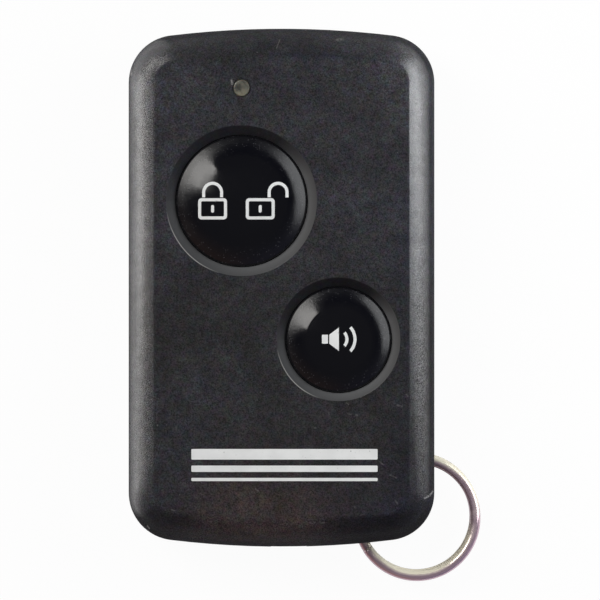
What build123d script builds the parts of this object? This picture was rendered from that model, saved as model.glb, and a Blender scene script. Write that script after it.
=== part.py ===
"""A two-button car key fob with its split ring, as it comes apart on a bench.

The origin is the middle of the case's back face. +Z points out of the front face, +Y to the end
with the lamp and +X to the side with the key ring. Sizes are in millimetres.
"""

from build123d import *
import math
import os

# Case
case_width = 36.0
case_length = 61.0
end_crown_radius = 108.0
corner_radius = 5.6
front_bevel_width = 3.2
front_bevel_depth = 1.35
front_face_blend = 1.2
front_side_blend = 4.8
front_hollow_radius = 2.2
back_edge_radius = 2.0
side_wall = 1.8
face_wall = 1.65
back_wall = 1.5
seam_groove = 0.15

# Lip that centres the two halves, and the beads that snap them together
lip_thickness = 0.7
lip_height = 1.4
lip_clearance = 0.1
bead_radius = 0.25
bead_length = 5.0
bead_end_play = 0.3
bead_rise = 0.85
bead_y = 12.0
pry_x = 0.9
pry_slot_width = 6.0
pry_slot_height = 1.0
pry_slot_depth = 0.7
nail_scallop_width = 4.6
nail_scallop_height = 3.9
nail_scallop_depth = 0.3

# Buttons and their wells
arm_x = -4.7
arm_y = 10.2
arm_cap_diameter = 15.35
arm_well_rim = 1.2
panic_x = 6.7
panic_y = -6.1
panic_cap_diameter = 12.35
panic_well_rim = 1.1
well_depth = 0.9
button_gap = 0.12
button_travel = 0.4
cap_rim_sink = 0.62
cap_crown_radius = 30.0
cap_shoulder_radius = 6.0
cap_shoulder_width = 2.3
cap_edge_radius = 0.35
cap_wall = 1.2
well_edge_radius = 0.2
flange_width = 0.9
flange_thickness = 0.8
flange_play = 0.05
stub_diameter = 3.8
guide_rib_width = 2.0
guide_rib_thickness = 0.9
guide_rib_root = 0.9
guide_rib_angles = (30, 150)
guide_clearance = 0.15
key_angle = 270
key_bite = 0.45

# Lamp and lens, in line with the large button
lamp_from_end = 7.0
lens_diameter = 2.1
lens_flange_diameter = 3.0
lens_flange_thickness = 0.5
lens_recess = 0.1
lens_edge_radius = 0.25
lens_clearance = 0.02
lamp_diameter = 3.0
lamp_rim_diameter = 3.6
lamp_rim_thickness = 0.6
lamp_lens_gap = 0.3
lead_side = 0.5
lead_hole_clearance = 0.05
lamp_lead_pitch = 1.6

# Split ring: two turns of wire that step from one layer to the other
ring_diameter = 15.0
ring_wire = 1.2
ring_turn_gap = 0.45
ring_step_angle = 26.0
ring_end_angle = 7.0
ring_split_angle = 192.0
ring_floor_gap = 0.12
ring_roof_gap = 0.63

# Ring pocket and post. The ring lies out from the post, towards the case's corner
post_from_side = 4.8
post_from_end = 5.2
post_diameter = 4.0
pocket_floor = 2.0
ring_post_play = 1.0
ring_lean_angle = -33.0
pocket_side_room = 1.85
pocket_top_room = 1.2
pocket_corner_radius = 6.0
pocket_rib = 1.2
ceiling_thickness = 1.5

# Screws
case_screw_diameter = 2.0
case_screw_length = 8.5
case_screw_head_diameter = 3.8
case_screw_sink = 0.15
case_screw_clearance = 0.15
case_screw_pilot_spare = 0.5
boss_diameter = 4.4
cross_length_share = 0.55
cross_width_share = 0.14
cross_depth_share = 0.6
cross_taper = 8
board_screw_diameter = 1.6
board_screw_length = 4.3
board_screw_head_diameter = 3.0
board_screw_head_height = 0.9
board_screw_pilot_spare = 0.3
board_screw_clearance = 0.1
board_boss_diameter = 4.0
pilot_clearance = 0.02

# Circuit board, hung from bosses under the front face
board_thickness = 1.0
board_edge_gap = 0.4
board_cut_radius = 1.0
board_screw_inset = 2.3
board_screw_end_inset = 4.8
lower_screw_from_bay = 3.3
lower_screw_from_end = 8.5
lead_tail = 0.8

# Tactile switches
switch_side = 6.0
switch_corner = 0.3
switch_body_height = 3.5
switch_height = 4.3
switch_rise = 0.3
switch_cover_thickness = 0.3
switch_floor = 0.9
switch_cavity_diameter = 4.9
plunger_diameter = 3.5
plunger_clearance = 0.1
plunger_flange_play = 0.3
plunger_flange_thickness = 0.7
plunger_nose_diameter = 1.8
dome_play = 0.2
dome_height = 0.55
dome_thickness = 0.1
stake_diameter = 0.9
stake_inset = 0.65
stake_head = 0.15
stake_clearance = 0.025
terminal_width = 0.7
terminal_thickness = 0.3
terminal_spacing = 4.5
terminal_hole_clearance = 0.07
part_gap = 0.05

# Battery, its contacts and its cradle
battery_diameter = 8.0
battery_length = 28.2
battery_nub_diameter = 3.2
battery_nub_height = 1.0
battery_sleeve_wall = 0.25
battery_side_gap = 0.6
battery_floor_gap = 0.5
battery_button_gap = 0.1
battery_end_gap = 1.5
cradle_rib = 1.2
cradle_height = 2.7
cradle_clearance = 0.15
cradle_spacing = 20.0
pad_width = 5.0
pad_corner = 0.5
pad_end_gap = 0.5
pad_gap = 0.1
contact_thickness = 0.3
contact_width = 5.8
contact_drop = 2.9
contact_tab_length = 3.0
contact_tab_width = 1.8
bay_gap = 0.6
spring_length = 2.1
spring_end_gap = 0.1
spring_wire = 0.5
spring_pitch = 0.8
spring_base_diameter = 5.8
spring_cone_angle = 30.0

# Parts soldered on the board, placed from its edges and its bays
chip_from_side = 6.6
chip_from_end = 17.5
chip_width = 7.5
chip_length = 11.6
chip_height = 2.3
chip_mark_diameter = 0.9
chip_mark_depth = 0.15
chip_mark_inset = 1.2
chip_pin_pitch = 1.27
chip_pin_count = 9
chip_pin_width = 0.42
chip_pin_thickness = 0.25
chip_pin_reach = 1.4
loop_from_side = 8.6
loop_from_end = 6.5
loop_length = 14.0
loop_width = 5.6
loop_strip = 1.1
loop_thickness = 0.1
loop_corner_radius = 1.5
loop_gap = 1.2
trimmer_from_side = 7.0
trimmer_from_end = 11.1
trimmer_side = 4.0
trimmer_corner = 0.5
trimmer_height = 1.9
rotor_diameter = 3.2
rotor_height = 0.6
rotor_slot_width = 0.6
rotor_slot_length = 2.6
rotor_slot_depth = 0.3
choke_from_pocket = 6.0
choke_above_pocket = 2.0
choke_diameter = 2.6
choke_length = 5.4
choke_end_radius = 0.45
choke_lead_span = 8.0
choke_lead_diameter = 0.52
transistor_from_pocket = 3.6
transistor_from_end = 10.3
transistor_length = 2.9
transistor_width = 1.4
transistor_height = 1.1
transistor_draft = 5
transistor_leg_width = 0.42
transistor_leg_length = 1.0
transistor_leg_pitch = 1.9
transistor_leg_height = 0.22
resistor_from_bay = 2.8
resistor_from_end = 20.0
capacitor_from_pocket = 3.4
capacitor_from_end = 5.9
chip_part_length = 2.0
chip_part_width = 1.25
chip_part_height = 0.55
chip_part_step_x = 3.1
chip_part_step_y = 2.0
edge_pick = 0.01

# Levels: the battery under a pressed button sets the cavity's depth, and the ring the seam's height
battery_roof_gap = flange_play + flange_thickness + button_travel + battery_button_gap
cavity_depth = battery_floor_gap + battery_diameter + battery_roof_gap
case_thickness = back_wall + cavity_depth + face_wall
face_inside = back_wall + cavity_depth
ring_thickness = 2 * ring_wire + ring_turn_gap
seam_height = pocket_floor + ring_floor_gap + ring_thickness + ring_roof_gap
board_drop = switch_height - switch_rise
board_top = face_inside - board_drop
board_bottom = board_top - board_thickness
lamp_height = board_drop - lens_flange_thickness - lamp_lens_gap
lens_top = case_thickness - lens_recess
battery_z = back_wall + battery_floor_gap + battery_diameter / 2
contact_bottom = battery_z - contact_drop
contact_height = board_top + contact_thickness - contact_bottom

# Places that follow from the sizes above
case_end = case_length / 2
cavity_half_width = case_width / 2 - side_wall
lamp_x = arm_x
lamp_y = case_end - lamp_from_end
post_x = case_width / 2 - post_from_side
post_y = -case_end + post_from_end
ring_lean = ring_diameter / 2 - ring_wire - post_diameter / 2 - ring_post_play
ring_x = post_x + ring_lean * math.cos(math.radians(ring_lean_angle))
ring_y = post_y + ring_lean * math.sin(math.radians(ring_lean_angle))
pocket_left = ring_x - ring_diameter / 2 - pocket_side_room
pocket_top = ring_y + ring_diameter / 2 + pocket_top_room
battery_x = -cavity_half_width + battery_side_gap + battery_diameter / 2
battery_foot_y = -case_end + side_wall + battery_end_gap + contact_thickness + spring_length
battery_head_y = battery_foot_y + battery_length
battery_mid_y = (battery_foot_y + battery_head_y) / 2
battery_body_length = battery_length - battery_nub_height
bay_right = battery_x + battery_diameter / 2 + bay_gap
bay_top = battery_head_y + contact_thickness + bay_gap
chip_x = cavity_half_width - chip_from_side
chip_y = case_end - chip_from_end
loop_x = cavity_half_width - loop_from_side
loop_y = case_end - loop_from_end
trimmer_x = -cavity_half_width + trimmer_from_side
trimmer_y = case_end - trimmer_from_end
choke_x = pocket_left - choke_from_pocket
choke_y = pocket_top + choke_above_pocket
transistor_x = pocket_left - transistor_from_pocket
transistor_y = -case_end + transistor_from_end
resistor_x = bay_right + resistor_from_bay
resistor_y = -case_end + resistor_from_end
capacitor_x = pocket_left - capacitor_from_pocket
capacitor_y = -case_end + capacitor_from_end
buttons = {
    "arm": (arm_x, arm_y, arm_cap_diameter, arm_well_rim),
    "panic": (panic_x, panic_y, panic_cap_diameter, panic_well_rim),
}
pry_slot = (pry_slot_width, pry_slot_depth, seam_height - pry_slot_height / 2, pry_slot_height)
nail_scallop = (nail_scallop_width, nail_scallop_depth, seam_height, nail_scallop_height)
board_screw_places = [
    (-cavity_half_width + board_screw_inset, case_end - side_wall - board_screw_end_inset),
    (cavity_half_width - board_screw_inset, pocket_top + pocket_rib + board_screw_inset),
    (bay_right + lower_screw_from_bay, -case_end + lower_screw_from_end),
]


def write(piece, name):
    """Labels a finished piece and writes it under its own name."""
    piece.label = name
    export_step(piece, f"parts/{name}.step")


def upright(x, y):
    """A plane through a vertical axis at x, y, whose own x and y run along +X and +Z."""
    return Plane(origin=(x, y, 0), x_dir=(1, 0, 0), z_dir=(0, -1, 0))


def vertical_axis(x, y):
    """The vertical line at x, y."""
    return Axis((x, y, 0), (0, 0, 1))


def case_outline(inset=0.0):
    """The case seen from the front, drawn in by an inset: straight sides and slightly bowed ends."""
    half_width = case_width / 2 - inset
    crown_y = case_length / 2 - inset
    crown_radius = end_crown_radius - inset
    shoulder_y = crown_y - crown_radius + math.sqrt(crown_radius**2 - half_width**2)
    with BuildSketch() as outline:
        with BuildLine():
            ThreePointArc((-half_width, shoulder_y), (0, crown_y), (half_width, shoulder_y))
            Line((half_width, shoulder_y), (half_width, -shoulder_y))
            ThreePointArc((half_width, -shoulder_y), (0, -crown_y), (-half_width, -shoulder_y))
            Line((-half_width, -shoulder_y), (-half_width, shoulder_y))
        make_face()
        fillet(outline.vertices(), corner_radius - inset)
    return outline.sketch


def pocket_outline(grow=0.0):
    """The corner pocket that the ring swings in, with its open sides run out past the case."""
    reach = case_length
    left = pocket_left - grow
    top = pocket_top + grow
    with BuildSketch() as pocket:
        with Locations((left + reach / 2, top - reach / 2)):
            RectangleRounded(reach, reach, pocket_corner_radius + grow)
    return pocket.sketch


def end_scallop(width, depth, bottom, height):
    """A shallow round bite into the lower end, for prying the halves apart."""
    bite_radius = (width**2 / 4 + depth**2) / (2 * depth)
    with BuildPart() as bite:
        with Locations((pry_x, -case_end + depth - bite_radius, bottom)):
            Cylinder(bite_radius, height, align=(Align.CENTER, Align.CENTER, Align.MIN))
    return bite.part


def snap_beads(radius, length):
    """Half-round beads along the long sides of the lip, centred in its height."""
    bead_x = cavity_half_width + lip_thickness
    with BuildPart() as beads:
        with Locations((0, 0, seam_height + bead_rise)):
            with GridLocations(2 * bead_x, 2 * bead_y, 2, 2):
                Cylinder(radius, length, rotation=(90, 0, 0))
    return beads.part


def screw(x, y, head_z, length, diameter, head_diameter, head_height, countersunk):
    """A screw that points up from its head at head_z, with a cross recess and a conical tip."""
    head = [(0, head_z), (head_diameter / 2, head_z)]
    if not countersunk:
        head.append((head_diameter / 2, head_z + head_height))
    shank = [
        (diameter / 2, head_z + head_height),
        (diameter / 2, head_z + length - diameter / 2),
        (0, head_z + length),
    ]
    with BuildPart() as made:
        with BuildSketch(upright(x, y)):
            with BuildLine():
                Polyline(*head, *shank, close=True)
            make_face()
        revolve(axis=vertical_axis(x, y))
        cross_length = head_diameter * cross_length_share
        cross_width = head_diameter * cross_width_share
        with BuildSketch(Plane.XY.offset(head_z)):
            with Locations((x, y)):
                Rectangle(cross_length, cross_width)
                Rectangle(cross_width, cross_length)
        extrude(amount=head_height * cross_depth_share, taper=cross_taper, mode=Mode.SUBTRACT)
    return made.part


def button(x, y, cap_diameter):
    """A hollow domed cap with a retaining flange, a key notch and a stub over its switch."""
    cap_radius = cap_diameter / 2
    flange_radius = cap_radius + flange_width
    flange_top = face_inside - flange_play
    rim_z = case_thickness - cap_rim_sink
    # the crown runs into a rounder shoulder, whose arc is centred at turn_x, turn_z
    crown_reach = cap_radius - cap_shoulder_width
    crown_tilt = math.asin(crown_reach / cap_crown_radius)
    turn_x = crown_reach - cap_shoulder_radius * math.sin(crown_tilt)
    turn_z = rim_z - math.sqrt(cap_shoulder_radius**2 - (cap_radius - turn_x) ** 2)
    crown_edge_z = turn_z + cap_shoulder_radius * math.cos(crown_tilt)
    crown_top = crown_edge_z + cap_crown_radius * (1 - math.cos(crown_tilt))
    bore_radius = cap_radius - cap_wall
    bore_top = turn_z + math.sqrt(cap_shoulder_radius**2 - (bore_radius - turn_x) ** 2) - cap_wall
    with BuildPart() as made:
        with BuildSketch(upright(x, y)):
            with BuildLine():
                Polyline(
                    (0, flange_top - flange_thickness),
                    (flange_radius, flange_top - flange_thickness),
                    (flange_radius, flange_top),
                    (cap_radius, flange_top),
                    (cap_radius, rim_z),
                )
                RadiusArc((cap_radius, rim_z), (crown_reach, crown_edge_z), -cap_shoulder_radius)
                RadiusArc((crown_reach, crown_edge_z), (0, crown_top), -cap_crown_radius)
                Line((0, crown_top), (0, flange_top - flange_thickness))
            make_face()
        revolve(axis=vertical_axis(x, y))
        circles = made.edges().filter_by(GeomType.CIRCLE)
        fillet(circles.filter_by_position(Axis.Z, rim_z - edge_pick, rim_z + edge_pick), cap_edge_radius)
        with BuildSketch(Plane.XY.offset(flange_top - flange_thickness)):
            with Locations((x, y)):
                Circle(bore_radius)
        extrude(amount=bore_top - flange_top + flange_thickness, mode=Mode.SUBTRACT)
        with BuildSketch(Plane.XY.offset(board_top + switch_height)):
            with Locations((x, y)):
                Circle(stub_diameter / 2)
        extrude(amount=bore_top - board_top - switch_height + cap_wall / 2)
        notch_depth = key_bite + guide_clearance
        with Locations((x, y - flange_radius + notch_depth / 2, flange_top - flange_thickness / 2)):
            Box(
                guide_rib_width + 2 * guide_clearance,
                notch_depth,
                flange_thickness,
                mode=Mode.SUBTRACT,
            )
    return made.part


def guide_ribs(x, y, cap_diameter):
    """Ribs that keep a button's flange centred, and one that bites into its key notch."""
    flange_radius = cap_diameter / 2 + flange_width
    rib_height = flange_thickness + flange_play + 2 * button_travel
    places = [(angle, guide_clearance) for angle in guide_rib_angles] + [(key_angle, -key_bite)]
    with BuildPart() as ribs:
        for angle, inner in places:
            turn = math.radians(angle)
            middle = flange_radius + inner + guide_rib_thickness / 2
            corner = (x + middle * math.cos(turn), y + middle * math.sin(turn), face_inside - rib_height)
            with Locations(Location(corner, (0, 0, angle))):
                Box(
                    guide_rib_thickness,
                    guide_rib_width,
                    rib_height + guide_rib_root,
                    align=(Align.CENTER, Align.CENTER, Align.MIN),
                )
    return ribs.part


def switch_pieces(x, y):
    """The five pieces of one tactile switch, standing on the board."""
    cover_z = board_top + switch_body_height - switch_cover_thickness
    dome_z = board_top + switch_floor
    stake_spread = switch_side - 2 * stake_inset
    with BuildPart() as base:
        with BuildSketch(Plane.XY.offset(board_top)):
            with Locations((x, y)):
                RectangleRounded(switch_side, switch_side, switch_corner)
        extrude(amount=cover_z - board_top)
        with BuildSketch(Plane.XY.offset(dome_z)):
            with Locations((x, y)):
                Circle(switch_cavity_diameter / 2)
        extrude(amount=cover_z - dome_z, mode=Mode.SUBTRACT)
        with BuildSketch(Plane.XY.offset(cover_z)):
            with Locations((x, y)):
                with GridLocations(stake_spread, stake_spread, 2, 2):
                    Circle(stake_diameter / 2)
        extrude(amount=switch_cover_thickness + stake_head)

    with BuildPart() as cover:
        with BuildSketch(Plane.XY.offset(cover_z)):
            with Locations((x, y)):
                RectangleRounded(switch_side, switch_side, switch_corner)
                Circle(plunger_diameter / 2 + plunger_clearance, mode=Mode.SUBTRACT)
                with GridLocations(stake_spread, stake_spread, 2, 2):
                    Circle(stake_diameter / 2 + stake_clearance, mode=Mode.SUBTRACT)
        extrude(amount=switch_cover_thickness)

    dome_radius = switch_cavity_diameter / 2 - dome_play
    outer_curve = (dome_radius**2 + dome_height**2) / (2 * dome_height)
    inner_curve = outer_curve - dome_thickness
    inner_radius = math.sqrt(inner_curve**2 - (outer_curve - dome_height) ** 2)
    with BuildPart() as dome:
        with BuildSketch(upright(x, y)):
            with BuildLine():
                RadiusArc((dome_radius, dome_z), (0, dome_z + dome_height), -outer_curve)
                Line((0, dome_z + dome_height), (0, dome_z + dome_height - dome_thickness))
                RadiusArc((0, dome_z + dome_height - dome_thickness), (inner_radius, dome_z), inner_curve)
                Line((inner_radius, dome_z), (dome_radius, dome_z))
            make_face()
        revolve(axis=vertical_axis(x, y))

    flange_z = cover_z - part_gap - plunger_flange_thickness
    flange_radius = switch_cavity_diameter / 2 - plunger_flange_play
    with BuildPart() as plunger:
        for bottom, top, radius in (
            (dome_z + dome_height + part_gap, flange_z, plunger_nose_diameter / 2),
            (flange_z, flange_z + plunger_flange_thickness, flange_radius),
            (flange_z, board_top + switch_height, plunger_diameter / 2),
        ):
            with BuildSketch(Plane.XY.offset(bottom)):
                with Locations((x, y)):
                    Circle(radius)
            extrude(amount=top - bottom)

    with BuildPart() as terminals:
        with BuildSketch(Plane.XY.offset(board_bottom - lead_tail)):
            with Locations((x, y)):
                with GridLocations(switch_side + terminal_thickness, terminal_spacing, 2, 2):
                    Rectangle(terminal_thickness, terminal_width)
        extrude(amount=dome_z - board_bottom + lead_tail)
    return {
        "base": base.part,
        "cover": cover.part,
        "dome": dome.part,
        "plunger": plunger.part,
        "terminals": terminals.part,
    }


os.makedirs("parts", exist_ok=True)

# Hollow of the front half, with the lip's rebate and the solid corner over the ring pocket
with BuildPart() as front_hollow:
    with BuildSketch(Plane.XY.offset(seam_height)):
        add(case_outline(side_wall))
    extrude(amount=face_inside - seam_height)
    fillet(front_hollow.faces().sort_by(Axis.Z)[-1].edges(), front_hollow_radius)
    with BuildSketch(Plane.XY.offset(seam_height)):
        add(case_outline(side_wall - lip_thickness - lip_clearance))
    extrude(amount=lip_height + lip_clearance)
    with BuildSketch(Plane.XY.offset(seam_height)):
        add(pocket_outline(pocket_rib))
    extrude(amount=ceiling_thickness, mode=Mode.SUBTRACT)

with BuildPart() as front_shell:
    with BuildSketch(Plane.XY.offset(seam_height)):
        add(case_outline())
    extrude(amount=case_thickness - seam_height)
    # a bevel round the face, blended tightly into the face and softly into the sides
    face = front_shell.faces().sort_by(Axis.Z)[-1]
    chamfer(face.edges(), front_bevel_width, front_bevel_depth, reference=face)
    fillet(front_shell.faces().sort_by(Axis.Z)[-1].edges(), front_face_blend)
    bevel_foot_z = case_thickness - front_bevel_depth
    bevel_foot = front_shell.edges().filter_by_position(
        Axis.Z, bevel_foot_z - edge_pick, bevel_foot_z + edge_pick
    )
    fillet(bevel_foot, front_side_blend)
    chamfer(front_shell.faces().sort_by(Axis.Z)[0].edges(), seam_groove)
    add(front_hollow.part, mode=Mode.SUBTRACT)
    # bosses for the board screws and the case screw
    for boss_x, boss_y in board_screw_places:
        with BuildSketch(Plane.XY.offset(board_top)):
            with Locations((boss_x, boss_y)):
                Circle(board_boss_diameter / 2)
        extrude(amount=board_drop + face_wall / 2)
    with BuildSketch(Plane.XY.offset(seam_height)):
        with Locations((post_x, post_y)):
            Circle(boss_diameter / 2)
    extrude(amount=face_inside - seam_height + face_wall / 2)
    for button_x, button_y, cap, rim in buttons.values():
        add(guide_ribs(button_x, button_y, cap))
    # button wells: a dished rim down to a straight bore
    for button_x, button_y, cap, rim in buttons.values():
        bore = cap / 2 + button_gap
        mouth = cap / 2 + rim
        rim_angle = 2 * math.degrees(math.atan((mouth - bore) / well_depth))
        with Locations((button_x, button_y, case_thickness)):
            CounterSinkHole(bore, mouth, depth=face_wall, counter_sink_angle=rim_angle)
    face_circles = front_shell.edges().filter_by(GeomType.CIRCLE)
    face_circles = face_circles.filter_by_position(
        Axis.Z, case_thickness - edge_pick, case_thickness + edge_pick
    )
    fillet(face_circles.filter_by(lambda edge: edge.radius > lens_diameter), well_edge_radius)
    with Locations((lamp_x, lamp_y, case_thickness)):
        Hole(lens_diameter / 2 + lens_clearance, depth=face_wall)
    # pilot holes, drilled up from below
    for boss_x, boss_y in board_screw_places:
        with BuildSketch(Plane.XY.offset(board_top)):
            with Locations((boss_x, boss_y)):
                Circle(board_screw_diameter / 2 + pilot_clearance)
        pilot_depth = board_screw_length - board_thickness + board_screw_pilot_spare
        extrude(amount=pilot_depth, mode=Mode.SUBTRACT)
    with BuildSketch(Plane.XY.offset(seam_height)):
        with Locations((post_x, post_y)):
            Circle(case_screw_diameter / 2 + pilot_clearance)
    screw_end = case_screw_sink + case_screw_length
    extrude(amount=screw_end + case_screw_pilot_spare - seam_height, mode=Mode.SUBTRACT)
    add(snap_beads(bead_radius + lip_clearance, bead_length + 2 * bead_end_play), mode=Mode.SUBTRACT)
    # a coin slot across the seam, and a fingernail's scallop above it
    add(end_scallop(*pry_slot), mode=Mode.SUBTRACT)
    add(end_scallop(*nail_scallop), mode=Mode.SUBTRACT)
write(front_shell.part, "front_shell")

# Hollow of the back half, which stops at the wall round the ring pocket
with BuildPart() as back_hollow:
    with BuildSketch(Plane.XY.offset(back_wall)):
        add(case_outline(side_wall))
        add(pocket_outline(pocket_rib), mode=Mode.SUBTRACT)
    extrude(amount=seam_height - back_wall)

with BuildPart() as back_shell:
    with BuildSketch():
        add(case_outline())
    extrude(amount=seam_height)
    fillet(back_shell.faces().sort_by(Axis.Z)[0].edges(), back_edge_radius)
    chamfer(back_shell.faces().sort_by(Axis.Z)[-1].edges(), seam_groove)
    add(back_hollow.part, mode=Mode.SUBTRACT)
    with BuildSketch(Plane.XY.offset(seam_height)):
        add(case_outline(side_wall - lip_thickness))
        add(case_outline(side_wall), mode=Mode.SUBTRACT)
        add(pocket_outline(pocket_rib + lip_clearance), mode=Mode.SUBTRACT)
    extrude(amount=lip_height)
    add(snap_beads(bead_radius, bead_length))
    # the ring pocket, its post and the screw's way through the post
    with BuildSketch(Plane.XY.offset(pocket_floor)):
        add(pocket_outline())
    extrude(amount=seam_height - pocket_floor, mode=Mode.SUBTRACT)
    with BuildSketch(Plane.XY.offset(pocket_floor)):
        with Locations((post_x, post_y)):
            Circle(post_diameter / 2)
    extrude(amount=seam_height - pocket_floor)
    with Locations(Location((post_x, post_y, 0), (180, 0, 0))):
        CounterSinkHole(
            case_screw_diameter / 2 + case_screw_clearance,
            case_screw_head_diameter / 2 + case_screw_clearance + case_screw_sink,
            depth=seam_height,
            counter_sink_angle=90,
        )
    # two ribs that cradle the battery
    with BuildSketch(Plane.XY.offset(back_wall)):
        with Locations((battery_x, battery_mid_y)):
            with GridLocations(0, cradle_spacing, 1, 2):
                Rectangle(battery_diameter, cradle_rib)
    extrude(amount=cradle_height)
    with BuildSketch(Plane.XZ.offset(-battery_head_y)):
        with Locations((battery_x, battery_z)):
            Circle(battery_diameter / 2 + cradle_clearance)
    extrude(amount=battery_length, mode=Mode.SUBTRACT)
    add(end_scallop(*pry_slot), mode=Mode.SUBTRACT)
write(back_shell.part, "back_shell")

for name, (button_x, button_y, cap, rim) in buttons.items():
    write(button(button_x, button_y, cap), f"{name}_button")

with BuildPart() as lamp_lens:
    with BuildSketch(Plane.XY.offset(face_inside - lens_flange_thickness)):
        with Locations((lamp_x, lamp_y)):
            Circle(lens_flange_diameter / 2)
    extrude(amount=lens_flange_thickness)
    with BuildSketch(Plane.XY.offset(face_inside)):
        with Locations((lamp_x, lamp_y)):
            Circle(lens_diameter / 2)
    extrude(amount=lens_top - face_inside)
    fillet(lamp_lens.edges().sort_by(Axis.Z)[-1], lens_edge_radius)
write(lamp_lens.part, "lamp_lens")

# Circuit board with its battery bay, its corner cut for the ring pocket, and its holes
with BuildPart() as circuit_board:
    bay_reach = case_length
    terminal_hole_radius = math.hypot(terminal_width, terminal_thickness) / 2 + terminal_hole_clearance
    lead_hole_radius = math.hypot(lead_side, lead_side) / 2 + lead_hole_clearance
    with BuildSketch(Plane.XY.offset(board_bottom)):
        add(case_outline(side_wall + board_edge_gap))
        with Locations((bay_right - bay_reach / 2, bay_top - bay_reach / 2)):
            RectangleRounded(bay_reach, bay_reach, board_cut_radius, mode=Mode.SUBTRACT)
        add(pocket_outline(pocket_rib + board_edge_gap), mode=Mode.SUBTRACT)
        with Locations(*board_screw_places):
            Circle(board_screw_diameter / 2 + board_screw_clearance, mode=Mode.SUBTRACT)
        for switch_x, switch_y, cap, rim in buttons.values():
            with Locations((switch_x, switch_y)):
                with GridLocations(switch_side + terminal_thickness, terminal_spacing, 2, 2):
                    Circle(terminal_hole_radius, mode=Mode.SUBTRACT)
        with Locations((lamp_x, lamp_y)):
            with GridLocations(lamp_lead_pitch, 0, 2, 1):
                Circle(lead_hole_radius, mode=Mode.SUBTRACT)
    extrude(amount=board_thickness)
write(circuit_board.part, "circuit_board")

for name, (switch_x, switch_y, cap, rim) in buttons.items():
    for piece, solid in switch_pieces(switch_x, switch_y).items():
        write(solid, f"{name}_switch_{piece}")

with BuildPart() as lamp:
    with BuildSketch(upright(lamp_x, lamp_y)):
        lamp_radius = lamp_diameter / 2
        with BuildLine():
            Polyline(
                (0, board_top),
                (lamp_rim_diameter / 2, board_top),
                (lamp_rim_diameter / 2, board_top + lamp_rim_thickness),
                (lamp_radius, board_top + lamp_rim_thickness),
                (lamp_radius, board_top + lamp_height - lamp_radius),
            )
            RadiusArc(
                (lamp_radius, board_top + lamp_height - lamp_radius),
                (0, board_top + lamp_height),
                -lamp_radius,
            )
            Line((0, board_top + lamp_height), (0, board_top))
        make_face()
    revolve(axis=vertical_axis(lamp_x, lamp_y))
write(lamp.part, "lamp")

with BuildPart() as lamp_leads:
    with BuildSketch(Plane.XY.offset(board_bottom - lead_tail)):
        with Locations((lamp_x, lamp_y)):
            with GridLocations(lamp_lead_pitch, 0, 2, 1):
                Rectangle(lead_side, lead_side)
    extrude(amount=board_thickness + lead_tail)
write(lamp_leads.part, "lamp_leads")

# Battery, lying along the left side
with BuildPart() as battery_cell:
    with BuildSketch(Plane.XZ.offset(-battery_foot_y - battery_body_length)):
        with Locations((battery_x, battery_z)):
            Circle(battery_diameter / 2 - battery_sleeve_wall)
    extrude(amount=battery_body_length)
    with BuildSketch(Plane.XZ.offset(-battery_head_y)):
        with Locations((battery_x, battery_z)):
            Circle(battery_nub_diameter / 2)
    extrude(amount=battery_nub_height)
write(battery_cell.part, "battery_cell")

with BuildPart() as battery_sleeve:
    with BuildSketch(Plane.XZ.offset(-battery_foot_y - battery_body_length)):
        with Locations((battery_x, battery_z)):
            Circle(battery_diameter / 2)
            Circle(battery_diameter / 2 - battery_sleeve_wall, mode=Mode.SUBTRACT)
    extrude(amount=battery_body_length)
write(battery_sleeve.part, "battery_sleeve")

with BuildPart() as battery_pad:
    with BuildSketch(Plane.XY.offset(back_wall)):
        with Locations((battery_x, battery_mid_y)):
            RectangleRounded(pad_width, cradle_spacing - cradle_rib - 2 * pad_end_gap, pad_corner)
    extrude(amount=battery_floor_gap - pad_gap)
write(battery_pad.part, "battery_pad")

# Contacts: an upright plate against each end of the battery, with a tab soldered to the board
with BuildPart() as positive_contact:
    to_the_lamp = (Align.CENTER, Align.MIN, Align.MIN)
    with Locations((battery_x, battery_head_y, contact_bottom)):
        Box(contact_width, contact_thickness, contact_height, align=to_the_lamp)
    with Locations((battery_x, battery_head_y, board_top)):
        Box(contact_width / 2, contact_tab_length + bay_gap, contact_thickness, align=to_the_lamp)
write(positive_contact.part, "positive_contact")

with BuildPart() as negative_contact:
    plate_y = battery_foot_y - spring_length - contact_thickness
    with Locations((battery_x, plate_y, contact_bottom)):
        Box(contact_width, contact_thickness, contact_height, align=(Align.CENTER, Align.MIN, Align.MIN))
    tab_left = battery_x + contact_width / 2
    tab_length = bay_right - tab_left + contact_tab_length
    with Locations((tab_left, plate_y, board_top)):
        Box(tab_length, contact_tab_width, contact_thickness, align=(Align.MIN, Align.MIN, Align.MIN))
write(negative_contact.part, "negative_contact")

with BuildPart() as negative_spring:
    with BuildLine() as spring_path:
        Helix(
            spring_pitch,
            spring_length - spring_wire - 2 * spring_end_gap,
            spring_base_diameter / 2,
            center=(battery_x, battery_foot_y - spring_length + spring_wire / 2 + spring_end_gap, battery_z),
            direction=(0, 1, 0),
            cone_angle=-spring_cone_angle,
        )
    with BuildSketch(Plane(origin=spring_path.line @ 0, z_dir=spring_path.line % 0)):
        Circle(spring_wire / 2)
    sweep(path=spring_path.line)
write(negative_spring.part, "negative_spring")

# Parts soldered to the board's upper side
with BuildPart() as encoder_chip:
    chip_top = board_top + part_gap + chip_height
    mark_x = chip_x - chip_width / 2 + chip_mark_inset
    mark_y = chip_y + chip_length / 2 - chip_mark_inset
    with BuildSketch(Plane.XY.offset(board_top + part_gap)):
        with Locations((chip_x, chip_y)):
            Rectangle(chip_width, chip_length)
    extrude(amount=chip_height)
    with Locations((mark_x, mark_y, chip_top)):
        Hole(chip_mark_diameter / 2, depth=chip_mark_depth)
write(encoder_chip.part, "encoder_chip")

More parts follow.
